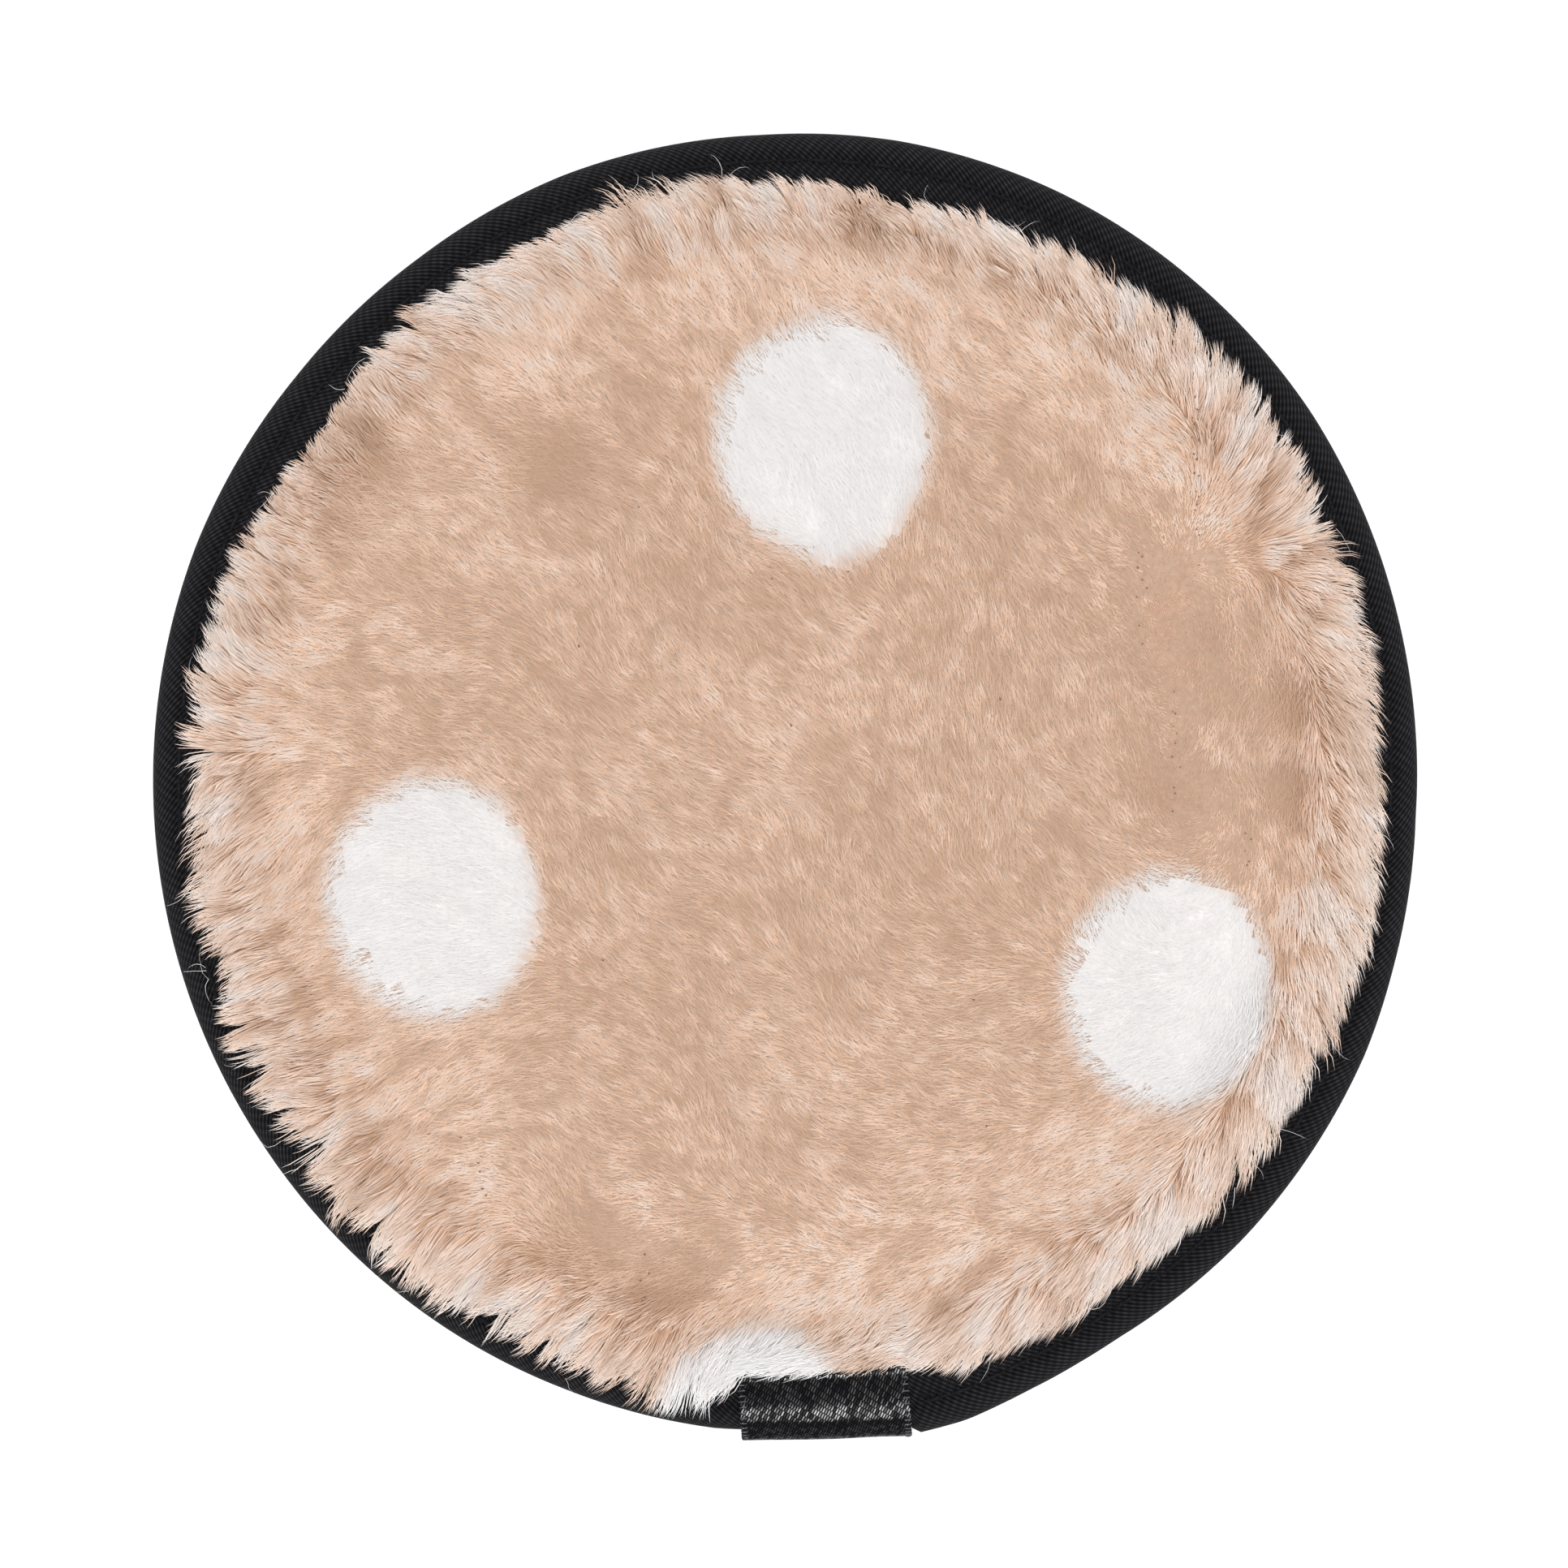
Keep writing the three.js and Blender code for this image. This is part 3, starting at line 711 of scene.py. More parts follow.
def fibre_piece(name, face, lines, radius, shades, seed):
    """One mesh of fibres from groups of lines of places, with a map of shade and of root to tip."""
    chance = np.random.default_rng(seed)
    vertices, triangles, spread, normals = [], [], [], []
    total = 0
    for line, tones in zip(lines, shades):
        axis = line[-1] - line[0]
        axis = axis / np.linalg.norm(axis, axis=1)[:, None]
        side = np.cross(axis, chance.normal(size=axis.shape))
        side /= np.linalg.norm(side, axis=1)[:, None]
        girth = radius * chance.uniform(0.7, 1.25, len(tones)) * (1.2 if len(line) == 2 else 1)
        upright = uprights(line[-1][:, :2], face)
        parts = strands(line, (side, np.cross(axis, side)), girth, tones * 0.96 + 0.01, upright)
        vertices.append(parts[0])
        triangles.append(parts[1] + total)
        spread.append(parts[2])
        normals.append(parts[3])
        total += len(parts[0])
    triangles = np.concatenate(triangles)
    piece = new_mesh_piece(name, swollen(np.concatenate(vertices)), triangles)
    spread = np.concatenate(spread)[triangles.ravel()].astype(np.float32).ravel()
    for map_name in ("strand", "OFBake"):
        piece.data.uv_layers.new(name=map_name).uv.foreach_set("vector", spread)
    piece.data.normals_split_custom_set_from_vertices(np.concatenate(normals).tolist())
    return piece


def pile_piece(name, face, fibres, radius, seed):
    """Fibres of the pile: bent near the rim and straight inside."""
    roots, bends, tips, shades = fibres
    points = [np.array(part) for part in (roots, bends, tips)]
    for part in points:
        part[:, 2] = np.maximum(MID_HEIGHT + face * part[:, 2], FLOOR_GAP)
    root, bend, tip = points
    first, second = (
        blend(blend(root, bend, share), blend(bend, tip, share), share) for share in (0.4, 0.72)
    )
    limit = np.random.default_rng(seed).uniform(BENT_FROM, BENT_TO, len(shades))
    bent = inset_at(root[:, :2]) < limit
    straight = ~bent
    lines = ((root[bent], first[bent], second[bent], tip[bent]), (root[straight], tip[straight]))
    return fibre_piece(name, face, lines, radius, (shades[bent], shades[straight]), seed)


def chosen(fibres, picked):
    """The picked ones of some fibres."""
    return tuple(part[picked] for part in fibres)


def resize_mesh(factors):
    """Stretches the mesh of the active object about the pad's axis."""
    bpy.ops.object.mode_set(mode="EDIT")
    bpy.ops.mesh.select_all(action="SELECT")
    bpy.ops.transform.resize(value=factors, center_override=(0, 0, 0))
    bpy.ops.object.mode_set(mode="OBJECT")


def on_face(section, face):
    """A section with its heights on one side of the pad."""
    return [(inset, face * height) for inset, height in section]


def spun_piece(name, section, steps, start=0.0, gap=0.0):
    """A closed section of insets and heights, spun round the pad and stretched to its length."""
    deselect_all()
    bpy.ops.mesh.primitive_circle_add(vertices=len(section), radius=MM, fill_type="NOTHING")
    piece = named_piece(name)
    for vertex, (inset, height) in zip(piece.data.vertices, section):
        reach = (HALF_WIDTH - inset) * MM
        vertex.co = (reach * math.cos(start), reach * math.sin(start), (MID_HEIGHT + height) * MM)
    bpy.ops.object.mode_set(mode="EDIT")
    bpy.ops.mesh.select_all(action="SELECT")
    bpy.ops.mesh.spin(steps=steps, angle=2 * math.pi - gap, center=(0, 0, 0), axis=(0, 0, 1))
    bpy.ops.mesh.select_all(action="SELECT")
    bpy.ops.mesh.remove_doubles(threshold=0.002 * MM)
    bpy.ops.mesh.fill_holes(sides=0)
    bpy.ops.mesh.select_all(action="SELECT")
    bpy.ops.mesh.normals_make_consistent(inside=False)
    bpy.ops.transform.resize(value=(1, STRETCH, 1), center_override=(0, 0, 0))
    bpy.ops.object.mode_set(mode="OBJECT")
    bpy.ops.object.shade_smooth()
    return piece


def finish_modifier(piece, kind, **settings):
    """Adds a modifier to a piece and applies it."""
    deselect_all()
    piece.select_set(True)
    bpy.context.view_layer.objects.active = piece
    bpy.ops.object.modifier_add(type=kind)
    modifier = piece.modifiers[-1]
    for setting, value in settings.items():
        setattr(modifier, setting, value)
    bpy.ops.object.modifier_apply(modifier=modifier.name)


def places_of(piece):
    """Vertices of a piece in millimetres."""
    flat = np.empty(len(piece.data.vertices) * 3, np.float32)
    piece.data.vertices.foreach_get("co", flat)
    return flat.reshape(-1, 3).astype(float) / MM


def lay_map(piece, name, spread):
    """Gives a piece a map from one pair of numbers for each vertex."""
    corners = np.empty(len(piece.data.loops), np.int32)
    piece.data.loops.foreach_get("vertex_index", corners)
    layer = piece.data.uv_layers.get(name) or piece.data.uv_layers.new(name=name)
    layer.uv.foreach_set("vector", spread[corners].astype(np.float32).ravel())


def let_out(piece):
    """Lets a finished piece out with the edge."""
    piece.data.vertices.foreach_set("co", (swollen(places_of(piece)) * MM).astype(np.float32).ravel())
    piece.data.update()


def repeated(name, pattern, places):
    """Copies of a pattern in one mesh, each put in place by a matrix in millimetres; the pattern goes."""
    corners = places_of(pattern)
    pattern.data.calc_loop_triangles()
    triangles = np.array([triangle.vertices[:] for triangle in pattern.data.loop_triangles])
    vertices = np.concatenate([corners @ place[:3, :3].T + place[:3, 3] for place in places])
    faces = np.concatenate([triangles + index * len(corners) for index in range(len(places))])
    bpy.data.objects.remove(pattern, do_unlink=True)
    return new_mesh_piece(name, vertices, faces)


def placed(origin, forward, up):
    """Matrix of a frame whose x looks forward and whose z looks up."""
    x = np.array(forward, float) / np.linalg.norm(forward)
    z = np.array(up, float) - x * np.dot(up, x)
    z /= np.linalg.norm(z)
    matrix = np.eye(4)
    matrix[:3, 0], matrix[:3, 1], matrix[:3, 2], matrix[:3, 3] = x, np.cross(z, x), z, origin
    return matrix


# Finishes

def fresh_material(name):
    """A new material, its node tree and its shader."""
    material = bpy.data.materials.new(name)
    material.use_nodes = True
    tree = material.node_tree
    return material, tree, tree.nodes["Principled BSDF"]


def add_node(tree, kind, **settings):
    """A new node with its settings."""
    node = tree.nodes.new(kind)
    for setting, value in settings.items():
        setattr(node, setting, value)
    return node


def set_inputs(node, values):
    """Sets sockets of a node by their names."""
    for name, value in values.items():
        node.inputs[name].default_value = value


def add_texture(tree, kind, values, **settings):
    """A texture in the piece's own space."""
    texture = add_node(tree, kind, **settings)
    set_inputs(texture, values)
    where = add_node(tree, "ShaderNodeTexCoord")
    tree.links.new(where.outputs["Object"], texture.inputs["Vector"])
    return texture.outputs["Fac"]


def add_parts(tree, source):
    """The x and y of a vector."""
    parts = add_node(tree, "ShaderNodeSeparateXYZ")
    tree.links.new(source, parts.inputs["Vector"])
    return parts.outputs["X"], parts.outputs["Y"]


def add_bump(tree, shader, height, depth, strength=1.0):
    """Raises the shading by a height from 0 to 1 times a depth in millimetres."""
    bump = add_node(tree, "ShaderNodeBump")
    set_inputs(bump, {"Distance": depth * MM, "Strength": strength})
    tree.links.new(height, bump.inputs["Height"])
    tree.links.new(bump.outputs["Normal"], shader.inputs["Normal"])


def add_ramp(tree, source, stops):
    """A colour ramp fed by a socket, from pairs of place and colour."""
    ramp = add_node(tree, "ShaderNodeValToRGB")
    elements = ramp.color_ramp.elements
    while len(elements) < len(stops):
        elements.new(0.5)
    for element, (place, colour) in zip(elements, stops):
        element.position = place
        element.color = (*colour, 1)
    tree.links.new(source, ramp.inputs["Fac"])
    return ramp.outputs["Color"]


def add_math(tree, operation, first, second=None):
    """Works on one or two sockets or numbers."""
    node = add_node(tree, "ShaderNodeMath", operation=operation)
    for socket, value in zip(node.inputs, (first, second)):
        if isinstance(value, (int, float)):
            socket.default_value = value
        elif value is not None:
            tree.links.new(value, socket)
    return node.outputs["Value"]


def add_mix(tree, blend_type, share, first, second):
    """Mixes two colours by a share; the share and the second colour are a socket or a value."""
    node = add_node(tree, "ShaderNodeMix", data_type="RGBA", blend_type=blend_type)
    sockets = {socket.identifier: socket for socket in node.inputs}
    factor, lower, upper = (sockets[key] for key in ("Factor_Float", "A_Color", "B_Color"))
    if isinstance(share, (int, float)):
        factor.default_value = share
    else:
        tree.links.new(share, factor)
    tree.links.new(first, lower)
    if isinstance(second, tuple):
        upper.default_value = (*second, 1)
    else:
        tree.links.new(second, upper)
    return next(socket for socket in node.outputs if socket.identifier == "Result_Color")


def grey(value):
    return (value, value, value)


def mixed(first, second, share):
    """Mixes two colours, from the first at a share of 0 to the second at 1."""
    return tuple(blend(np.array(first), np.array(second), share))


def scaled(colour, factor):
    """A colour made darker or lighter."""
    return tuple(min(1, factor * value) for value in colour)


def pile_finish(name, stops, tip, root):
    """Fibres: shade from fibre to fibre, darker towards the root as painted shade and paler at the tip as a
    painted highlight.
    """
    material = bpy.data.materials.get(name)
    if material:
        return material
    material, tree, shader = fresh_material(name)
    strand = add_node(tree, "ShaderNodeUVMap", uv_map="strand")
    shade, along = add_parts(tree, strand.outputs["UV"])
    # Darker towards the root: painted shade deep in the pile
    depth = add_ramp(tree, along, ((0.1, root), (0.75, grey(1.0))))
    tone = add_mix(tree, "MULTIPLY", 1.0, add_ramp(tree, shade, stops), depth)
    living = add_math(tree, "GREATER_THAN", shade, GAP_SHADE_LIMIT)
    # Paler towards the tip, and less so on darker fibres: a painted highlight where the tips catch the light
    ends = add_ramp(tree, along, ((0.65, grey(0.0)), (0.98, grey(0.6))))
    bright = add_ramp(tree, shade, ((0.15, grey(0.3)), (0.5, grey(1.0))))
    share = add_math(tree, "MULTIPLY", add_math(tree, "MULTIPLY", living, ends), bright)
    tree.links.new(add_mix(tree, "MIX", share, tone, tuple(tip)), shader.inputs["Base Color"])
    set_inputs(shader, {
        "Roughness": 0.65, "Specular IOR Level": 0.15,
        "Sheen Weight": 0.7, "Sheen Roughness": 0.5, "Sheen Tint": (*tip, 1),
    })
    return material


def mat_finish(name, colour):
    """Packed lower pile: mottled, with the ends of bunched fibres."""
    material = bpy.data.materials.get(name)
    if material:
        return material
    material, tree, shader = fresh_material(name)
    fibres = add_texture(tree, "ShaderNodeTexNoise", {"Scale": 2400, "Detail": 4})
    tone = add_ramp(tree, fibres, ((0.3, scaled(colour, 0.8)), (0.7, colour)))
    tree.links.new(tone, shader.inputs["Base Color"])
    add_bump(tree, shader, fibres, 0.2, 0.5)
    set_inputs(shader, {"Roughness": 0.9})
    return material


def knit_finish(name, colour):
    """Knitted ground cloth: rows of small loops."""
    material, tree, shader = fresh_material(name)
    rows, columns = (
        add_texture(
            tree, "ShaderNodeTexWave", {"Scale": scale, "Distortion": 1.5},
            wave_type="BANDS", bands_direction=way,
        )
        for way, scale in (("X", 420), ("Y", 520))
    )
    loops = add_math(tree, "MULTIPLY", rows, columns)
    tone = add_ramp(tree, loops, ((0.1, scaled(colour, 0.65)), (0.7, colour)))
    tree.links.new(tone, shader.inputs["Base Color"])
    add_bump(tree, shader, loops, 0.15)
    set_inputs(shader, {"Roughness": 0.9})
    return material


def twill_finish(name, colour, pitch, length, width):
    """Tape: ribs that run slantwise across it, broken by the single yarns, with painted highlights on their
    crests and painted shade between them.
    """
    material, tree, shader = fresh_material(name)
    tape = add_node(tree, "ShaderNodeUVMap", uv_map="tape")
    around, over = add_parts(tree, tape.outputs["UV"])
    along = add_math(tree, "MULTIPLY", around, length)
    across = add_math(tree, "MULTIPLY", over, width)
    lean = math.radians(36)
    cosine, sine = math.cos(lean), math.sin(lean)
    slant = add_math(
        tree, "ADD", add_math(tree, "MULTIPLY", along, sine), add_math(tree, "MULTIPLY", across, cosine)
    )
    lengthwise = add_math(
        tree, "SUBTRACT", add_math(tree, "MULTIPLY", along, cosine), add_math(tree, "MULTIPLY", across, sine)
    )
    ribs = add_math(tree, "SINE", add_math(tree, "MULTIPLY", slant, 2 * math.pi / pitch))
    yarns = add_math(tree, "SINE", add_math(tree, "MULTIPLY", lengthwise, 2 * math.pi / (2.1 * pitch)))
    weave = add_math(tree, "ADD", ribs, add_math(tree, "MULTIPLY", yarns, 0.35))
    height = add_math(tree, "MULTIPLY", add_math(tree, "ADD", weave, 1.35), 0.37)
    # Painted light and shade: rib crests four times lighter in colour, grooves far darker
    painted_rib_light = add_ramp(tree, height, ((0.0, scaled(colour, 0.1)), (0.6, colour), (1.0, scaled(colour, 4))))
    wear = add_texture(tree, "ShaderNodeTexNoise", {"Scale": 700})
    patches = add_ramp(tree, wear, ((0.3, grey(0.6)), (0.75, grey(1.0))))
    tree.links.new(add_mix(tree, "MULTIPLY", 1.0, painted_rib_light, patches), shader.inputs["Base Color"])
    add_bump(tree, shader, height, 0.06, 0.8)
    set_inputs(shader, {"Roughness": 0.85, "Specular IOR Level": 0.12})
    return material


def satin_finish(name, colour, width, length):
    """Ribbon: short floats in staggered rows, each of which gleams by chance, and less near the fold; the
    floats' middles are lighter in colour, a painted sheen.
    """
    material, tree, shader = fresh_material(name)
    ribbon = add_node(tree, "ShaderNodeUVMap", uv_map="ribbon")
    slanted = add_node(tree, "ShaderNodeMapping")
    set_inputs(slanted, {"Scale": (width, length, 1), "Rotation": (0, 0, math.radians(-30))})
    tree.links.new(ribbon.outputs["UV"], slanted.inputs["Vector"])
    across, along = add_parts(tree, slanted.outputs["Vector"])
    rows = add_math(tree, "DIVIDE", along, FLOAT_LENGTH)
    row = add_math(tree, "FLOOR", rows)
    stagger = add_math(tree, "FRACT", add_math(tree, "MULTIPLY", row, 0.5))
    columns = add_math(tree, "ADD", add_math(tree, "DIVIDE", across, FLOAT_WIDTH), stagger)
    cell = add_node(tree, "ShaderNodeCombineXYZ")
    tree.links.new(add_math(tree, "FLOOR", columns), cell.inputs["X"])
    tree.links.new(row, cell.inputs["Y"])
    chance = add_node(tree, "ShaderNodeTexWhiteNoise", noise_dimensions="3D")
    tree.links.new(cell.outputs["Vector"], chance.inputs["Vector"])
    aside, ahead = (
        add_math(tree, "ABSOLUTE", add_math(tree, "SUBTRACT", add_math(tree, "FRACT", cells), 0.5))
        for cells in (columns, rows)
    )
    worn = add_math(
        tree, "MAXIMUM", add_math(tree, "MULTIPLY", aside, 1.9), add_math(tree, "MULTIPLY", ahead, 1.1)
    )
    floats = add_math(tree, "SUBTRACT", 1.0, worn)
    # Lighter middles and darker edges of the floats in colour: painted sheen and shade
    tone = add_ramp(tree, floats, ((0.4, scaled(colour, 0.7)), (0.8, scaled(colour, 1.6))))
    tree.links.new(tone, shader.inputs["Base Color"])
    gleam = add_ramp(tree, floats, ((0.45, grey(0.02)), (0.68, grey(1.0))))
    lucky = add_ramp(tree, chance.outputs["Value"], ((0.2, grey(0.06)), (0.9, grey(1.0))))
    gleam = add_mix(tree, "MULTIPLY", 1.0, gleam, lucky)
    lengthwise = add_parts(tree, ribbon.outputs["UV"])[1]
    from_fold = add_math(tree, "ABSOLUTE", add_math(tree, "SUBTRACT", lengthwise, 0.5))
    legs = add_ramp(tree, from_fold, ((0.12, grey(0.1)), (0.3, grey(1.0))))
    tree.links.new(add_mix(tree, "MULTIPLY", 1.0, gleam, legs), shader.inputs["Specular IOR Level"])
    add_bump(tree, shader, floats, 0.05, 0.12)
    set_inputs(shader, {"Roughness": 0.23})
    return material


def thread_finish(name, colour):
    """Sewing thread: mottled by its fine twist."""
    material = bpy.data.materials.get(name)
    if material:
        return material
    material, tree, shader = fresh_material(name)
    twist = add_texture(tree, "ShaderNodeTexNoise", {"Scale": 5000})
    tone = add_ramp(tree, twist, ((0.4, colour), (0.65, scaled(colour, 3))))
    tree.links.new(tone, shader.inputs["Base Color"])
    set_inputs(shader, {"Roughness": 0.8, "Specular IOR Level": 0.1})
    return material


def beige_fibres(colours):
    """Beige fibres, with the few dark ends, painted shade of small gaps, at the low end of their shades."""
    middle = mixed(colours.beige_shaded, colours.beige_light, 0.5)
    stops = (
        (0.03, colours.gap_shade_end), (0.06, colours.beige_shaded), (0.5, middle), (0.76, colours.beige_light),
        (0.94, colours.beige_tip),
    )
    # The last colour darkens the fibres towards their roots: painted shade
    return pile_finish("beige_fibres", stops, colours.beige_tip, (0.95, 0.92, 0.89))


def white_fibres(colours):
    """White fibres, that turn beige at the border of a spot."""
    beige = mixed(colours.beige_shaded, colours.beige_light, 0.6)
    half = mixed(beige, colours.white_shaded, 0.6)
    stops = ((0.08, beige), (0.45, half), (0.75, colours.white_shaded), (0.97, colours.white_light))
    # The last colour darkens the fibres towards their roots: painted shade
    return pile_finish("white_fibres", stops, colours.white_light, grey(0.93))


# Pieces

class PAD_OT_core(bpy.types.Operator):
    """Wadding in the middle of the pad"""

    bl_idname = "plush_pad.core"
    bl_label = "Core"

    def execute(self, context):
        top = CORE_HALF
        section = [
            (HALF_WIDTH, -top), (CORE_INSET + 8, -top), (CORE_INSET + 2, -0.8 * top),
            (CORE_INSET, -0.25 * top), (CORE_INSET, 0.25 * top),
            (CORE_INSET + 2, 0.8 * top), (CORE_INSET + 8, top), (HALF_WIDTH, top),
        ]
        core = spun_piece("core_wadding", section, 96)
        finish_modifier(core, "SUBSURF", levels=1, render_levels=1)
        dressed(core, "wadding", mat_finish("white_wadding", (0.85, 0.83, 0.8)))
        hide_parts("absorbent_core")
        return {"FINISHED"}


class PAD_OT_ground_cloths(bpy.types.Operator):
    """Knitted cloths that the piles are rooted in, drawn together into the bound edge"""

    bl_idname = "plush_pad.ground_cloths"
    bl_label = "Ground cloths"

    def execute(self, context):
        thickness = 0.7
        low, high = 0.15, GROUND_TOP - thickness
        section = [
            (HALF_WIDTH, high + thickness), (11.2, high + thickness), (9.8, high + 0.45),
            (8.0, low + 1.0), (6.8, low + thickness), (GROUND_INSET, low + thickness),
            (GROUND_INSET, low), (6.8, low), (8.2, low + 0.35),
            (9.9, high - 0.2), (11.2, high), (HALF_WIDTH, high),
        ]
        colours = context.scene.pad_colours
        knit = knit_finish("beige_knit", scaled(colours.beige_shaded, 0.8))
        for face, node in ((FRONT, "front_ground_cloth"), (REAR, "rear_ground_cloth")):
            cloth = spun_piece(node + "_knit", on_face(section, face), 120)
            dressed(cloth, "ground_knit", knit)
            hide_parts(node)
        return {"FINISHED"}


class PAD_OT_pile_mats(bpy.types.Operator):
    """Packed lower pile of both sides, that the longer fibres stand in"""

    bl_idname = "plush_pad.pile_mats"
    bl_label = "Pile mats"

    def execute(self, context):
        sizes = context.scene.pad_sizes
        colours = context.scene.pad_colours
        # The beige mat is darker than the fibres: painted shade of the deep pile
        low = mixed(colours.beige_shaded, colours.beige_tip, 0.15)
        beige = mat_finish("beige_mat", scaled(low, 0.88))
        white = mat_finish("white_mat", tuple(colours.white_shaded))
        insets = np.concatenate((np.linspace(FOOT_INSET, 15, 9), np.linspace(16.5, HALF_WIDTH, 29)))
        floor = GROUND_TOP + 0.3
        for face, node, spots in ((FRONT, "front_pile", FRONT_SPOTS), (REAR, "rear_pile", REAR_SPOTS)):
            section = list(zip(insets, mat_height(insets, face)))
            section += [(HALF_WIDTH, floor), (13.0, floor), (11.0, floor), (8.2, 1.45)]
            mat = spun_piece(node + "_mat", on_face(section, face), 240)
            dressed(mat, "beige_pile", beige, white)
            let_out(mat)
            middles = np.array([polygon.center[:2] for polygon in mat.data.polygons]) / MM
            seen = middles + SEEN_SHARE * lean_of(middles, face, sizes.pile_lean / MM, 50)
            for bearing, inset in spots.values():
                gaps = spot_gap(seen, spot_middle(bearing, inset))
                for index in np.nonzero(gaps < 0.95)[0]:
                    mat.data.polygons[int(index)].material_index = 1
            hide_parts(node)
        return {"FINISHED"}


class PAD_OT_fur(bpy.types.Operator):
    """Brushed fibres of both sides, beige and white"""

    bl_idname = "plush_pad.fur"
    bl_label = "Brushed fibres"

    def execute(self, context):
        sizes = context.scene.pad_sizes
        colours = context.scene.pad_colours
        self.grow(FRONT, sizes.front_fibres, "front", FRONT_SPOTS, 9, sizes, colours)
        self.grow(REAR, sizes.rear_fibres, "rear", REAR_SPOTS, 4, sizes, colours)
        self.gap_shade_ends(colours)
        self.stray_hairs(colours)
        return {"FINISHED"}

    def gap_shade_ends(self, colours):
        """Rows of dark fibre ends that lie on the front, and a few strewn between them: painted shade of
        small gaps in the pile.
        """
        chance = np.random.default_rng(90)
        places = [(x, y) for x, top, foot in GAP_SHADE_ROWS for y in np.arange(foot, top, 0.8)]
        places = np.array(places) + chance.normal(0, 0.22, (len(places), 2))
        places = np.concatenate((places, chance.uniform(-34, 34, (22, 2))))
        places = places[chance.random(len(places)) < 0.75]
        for bearing, inset in FRONT_SPOTS.values():
            places = places[spot_gap(places, spot_middle(bearing, inset)) > 1.15]
        ways = turned(brushed(places), chance.normal(0, 35, len(places)))
        ends = places + ways * chance.uniform(0.2, 0.4, (len(places), 1))
        low = np.column_stack((places, MID_HEIGHT + brushed_height(inset_at(places), FRONT) - 0.25))
        high = np.column_stack((ends, MID_HEIGHT + brushed_height(inset_at(ends), FRONT) - 0.02))
        piece = fibre_piece("front_gap_shade_ends", FRONT, ((low, high),), 0.1, (np.zeros(len(places)),), 90)
        dressed(piece, "beige_pile", beige_fibres(colours))

    def stray_hairs(self, colours):
        """Single pale hairs that curl over the tape."""
        chance = np.random.default_rng(91)
        count = 46
        bearings = np.radians(chance.uniform(0, 360, count))
        around = on_edge(bearings)
        cover = fringe_at(around, FRONT)[0] + 0.6
        start = around * (1 - cover / HALF_WIDTH)[:, None]
        way = turned(outward(around), chance.normal(0, 55, count)) * chance.uniform(0.4, 0.85, (count, 1))
        curl = chance.uniform(-28, 28, count)
        height = np.maximum(brushed_height(cover, FRONT), HEM_HEIGHT) + 0.1
        fall = chance.uniform(0.75, 1.0, count)
        line = []
        for step in range(5):
            above = np.maximum(height * fall ** step, RIM_HALF + 0.12)
            line.append(np.column_stack((start, MID_HEIGHT + above)))
            way = turned(way, curl + chance.normal(0, 8, count))
            start = start + way
            past = np.maximum(0.3 - inset_at(start), 0)
            start = start - outward(start) * past[:, None]
        piece = fibre_piece("front_stray_hairs", FRONT, (tuple(line),), 0.02, (np.full(count, 0.95),), 91)
        dressed(piece, "white_pile", white_fibres(colours))

    def grow(self, face, count, side, spots, sectors, sizes, colours):
        """Fibres of one side: each spot in a piece of its own, and the rest in sectors."""
        rim_count = sizes.rim_fibres if face == FRONT else sizes.rim_fibres // 2
        places = np.concatenate((
            even_spread(count, FOOT_INSET, HALF_WIDTH),
            even_spread(rim_count, FOOT_INSET, FOOT_INSET + RIM_BAND),
        ))
        seed = 40 if face == FRONT else 140
        fibres = grown_pile(places, face, sizes, seed)
        left = np.ones(len(places), bool)
        radius = sizes.fibre_radius / MM * (1 if face == FRONT else REAR_THICKER)
        for index, (node, (bearing, inset)) in enumerate(spots.items()):
            share = spot_share(fibres[0], fibres[2], spot_middle(bearing, inset), seed + index)
            inside = left & (share > 0.04)
            shades = 0.08 + 0.74 * share + 0.1 * fibres[3] * share ** 4
            white = chosen((*fibres[:3], shades), inside)
            spot = pile_piece(node + "_fibres", face, white, radius, seed + index)
            dressed(spot, "white_pile", white_fibres(colours))
            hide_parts(node)
            left &= ~inside
        sector = np.floor(bearing_of(places) / (360 / sectors)).astype(int)
        for index in range(sectors):
            beige = chosen(fibres, left & (sector == index))
            piece = pile_piece(f"{side}_fibres_{index + 1}", face, beige, radius, seed + 10 + index)
            dressed(piece, "beige_pile", beige_fibres(colours))


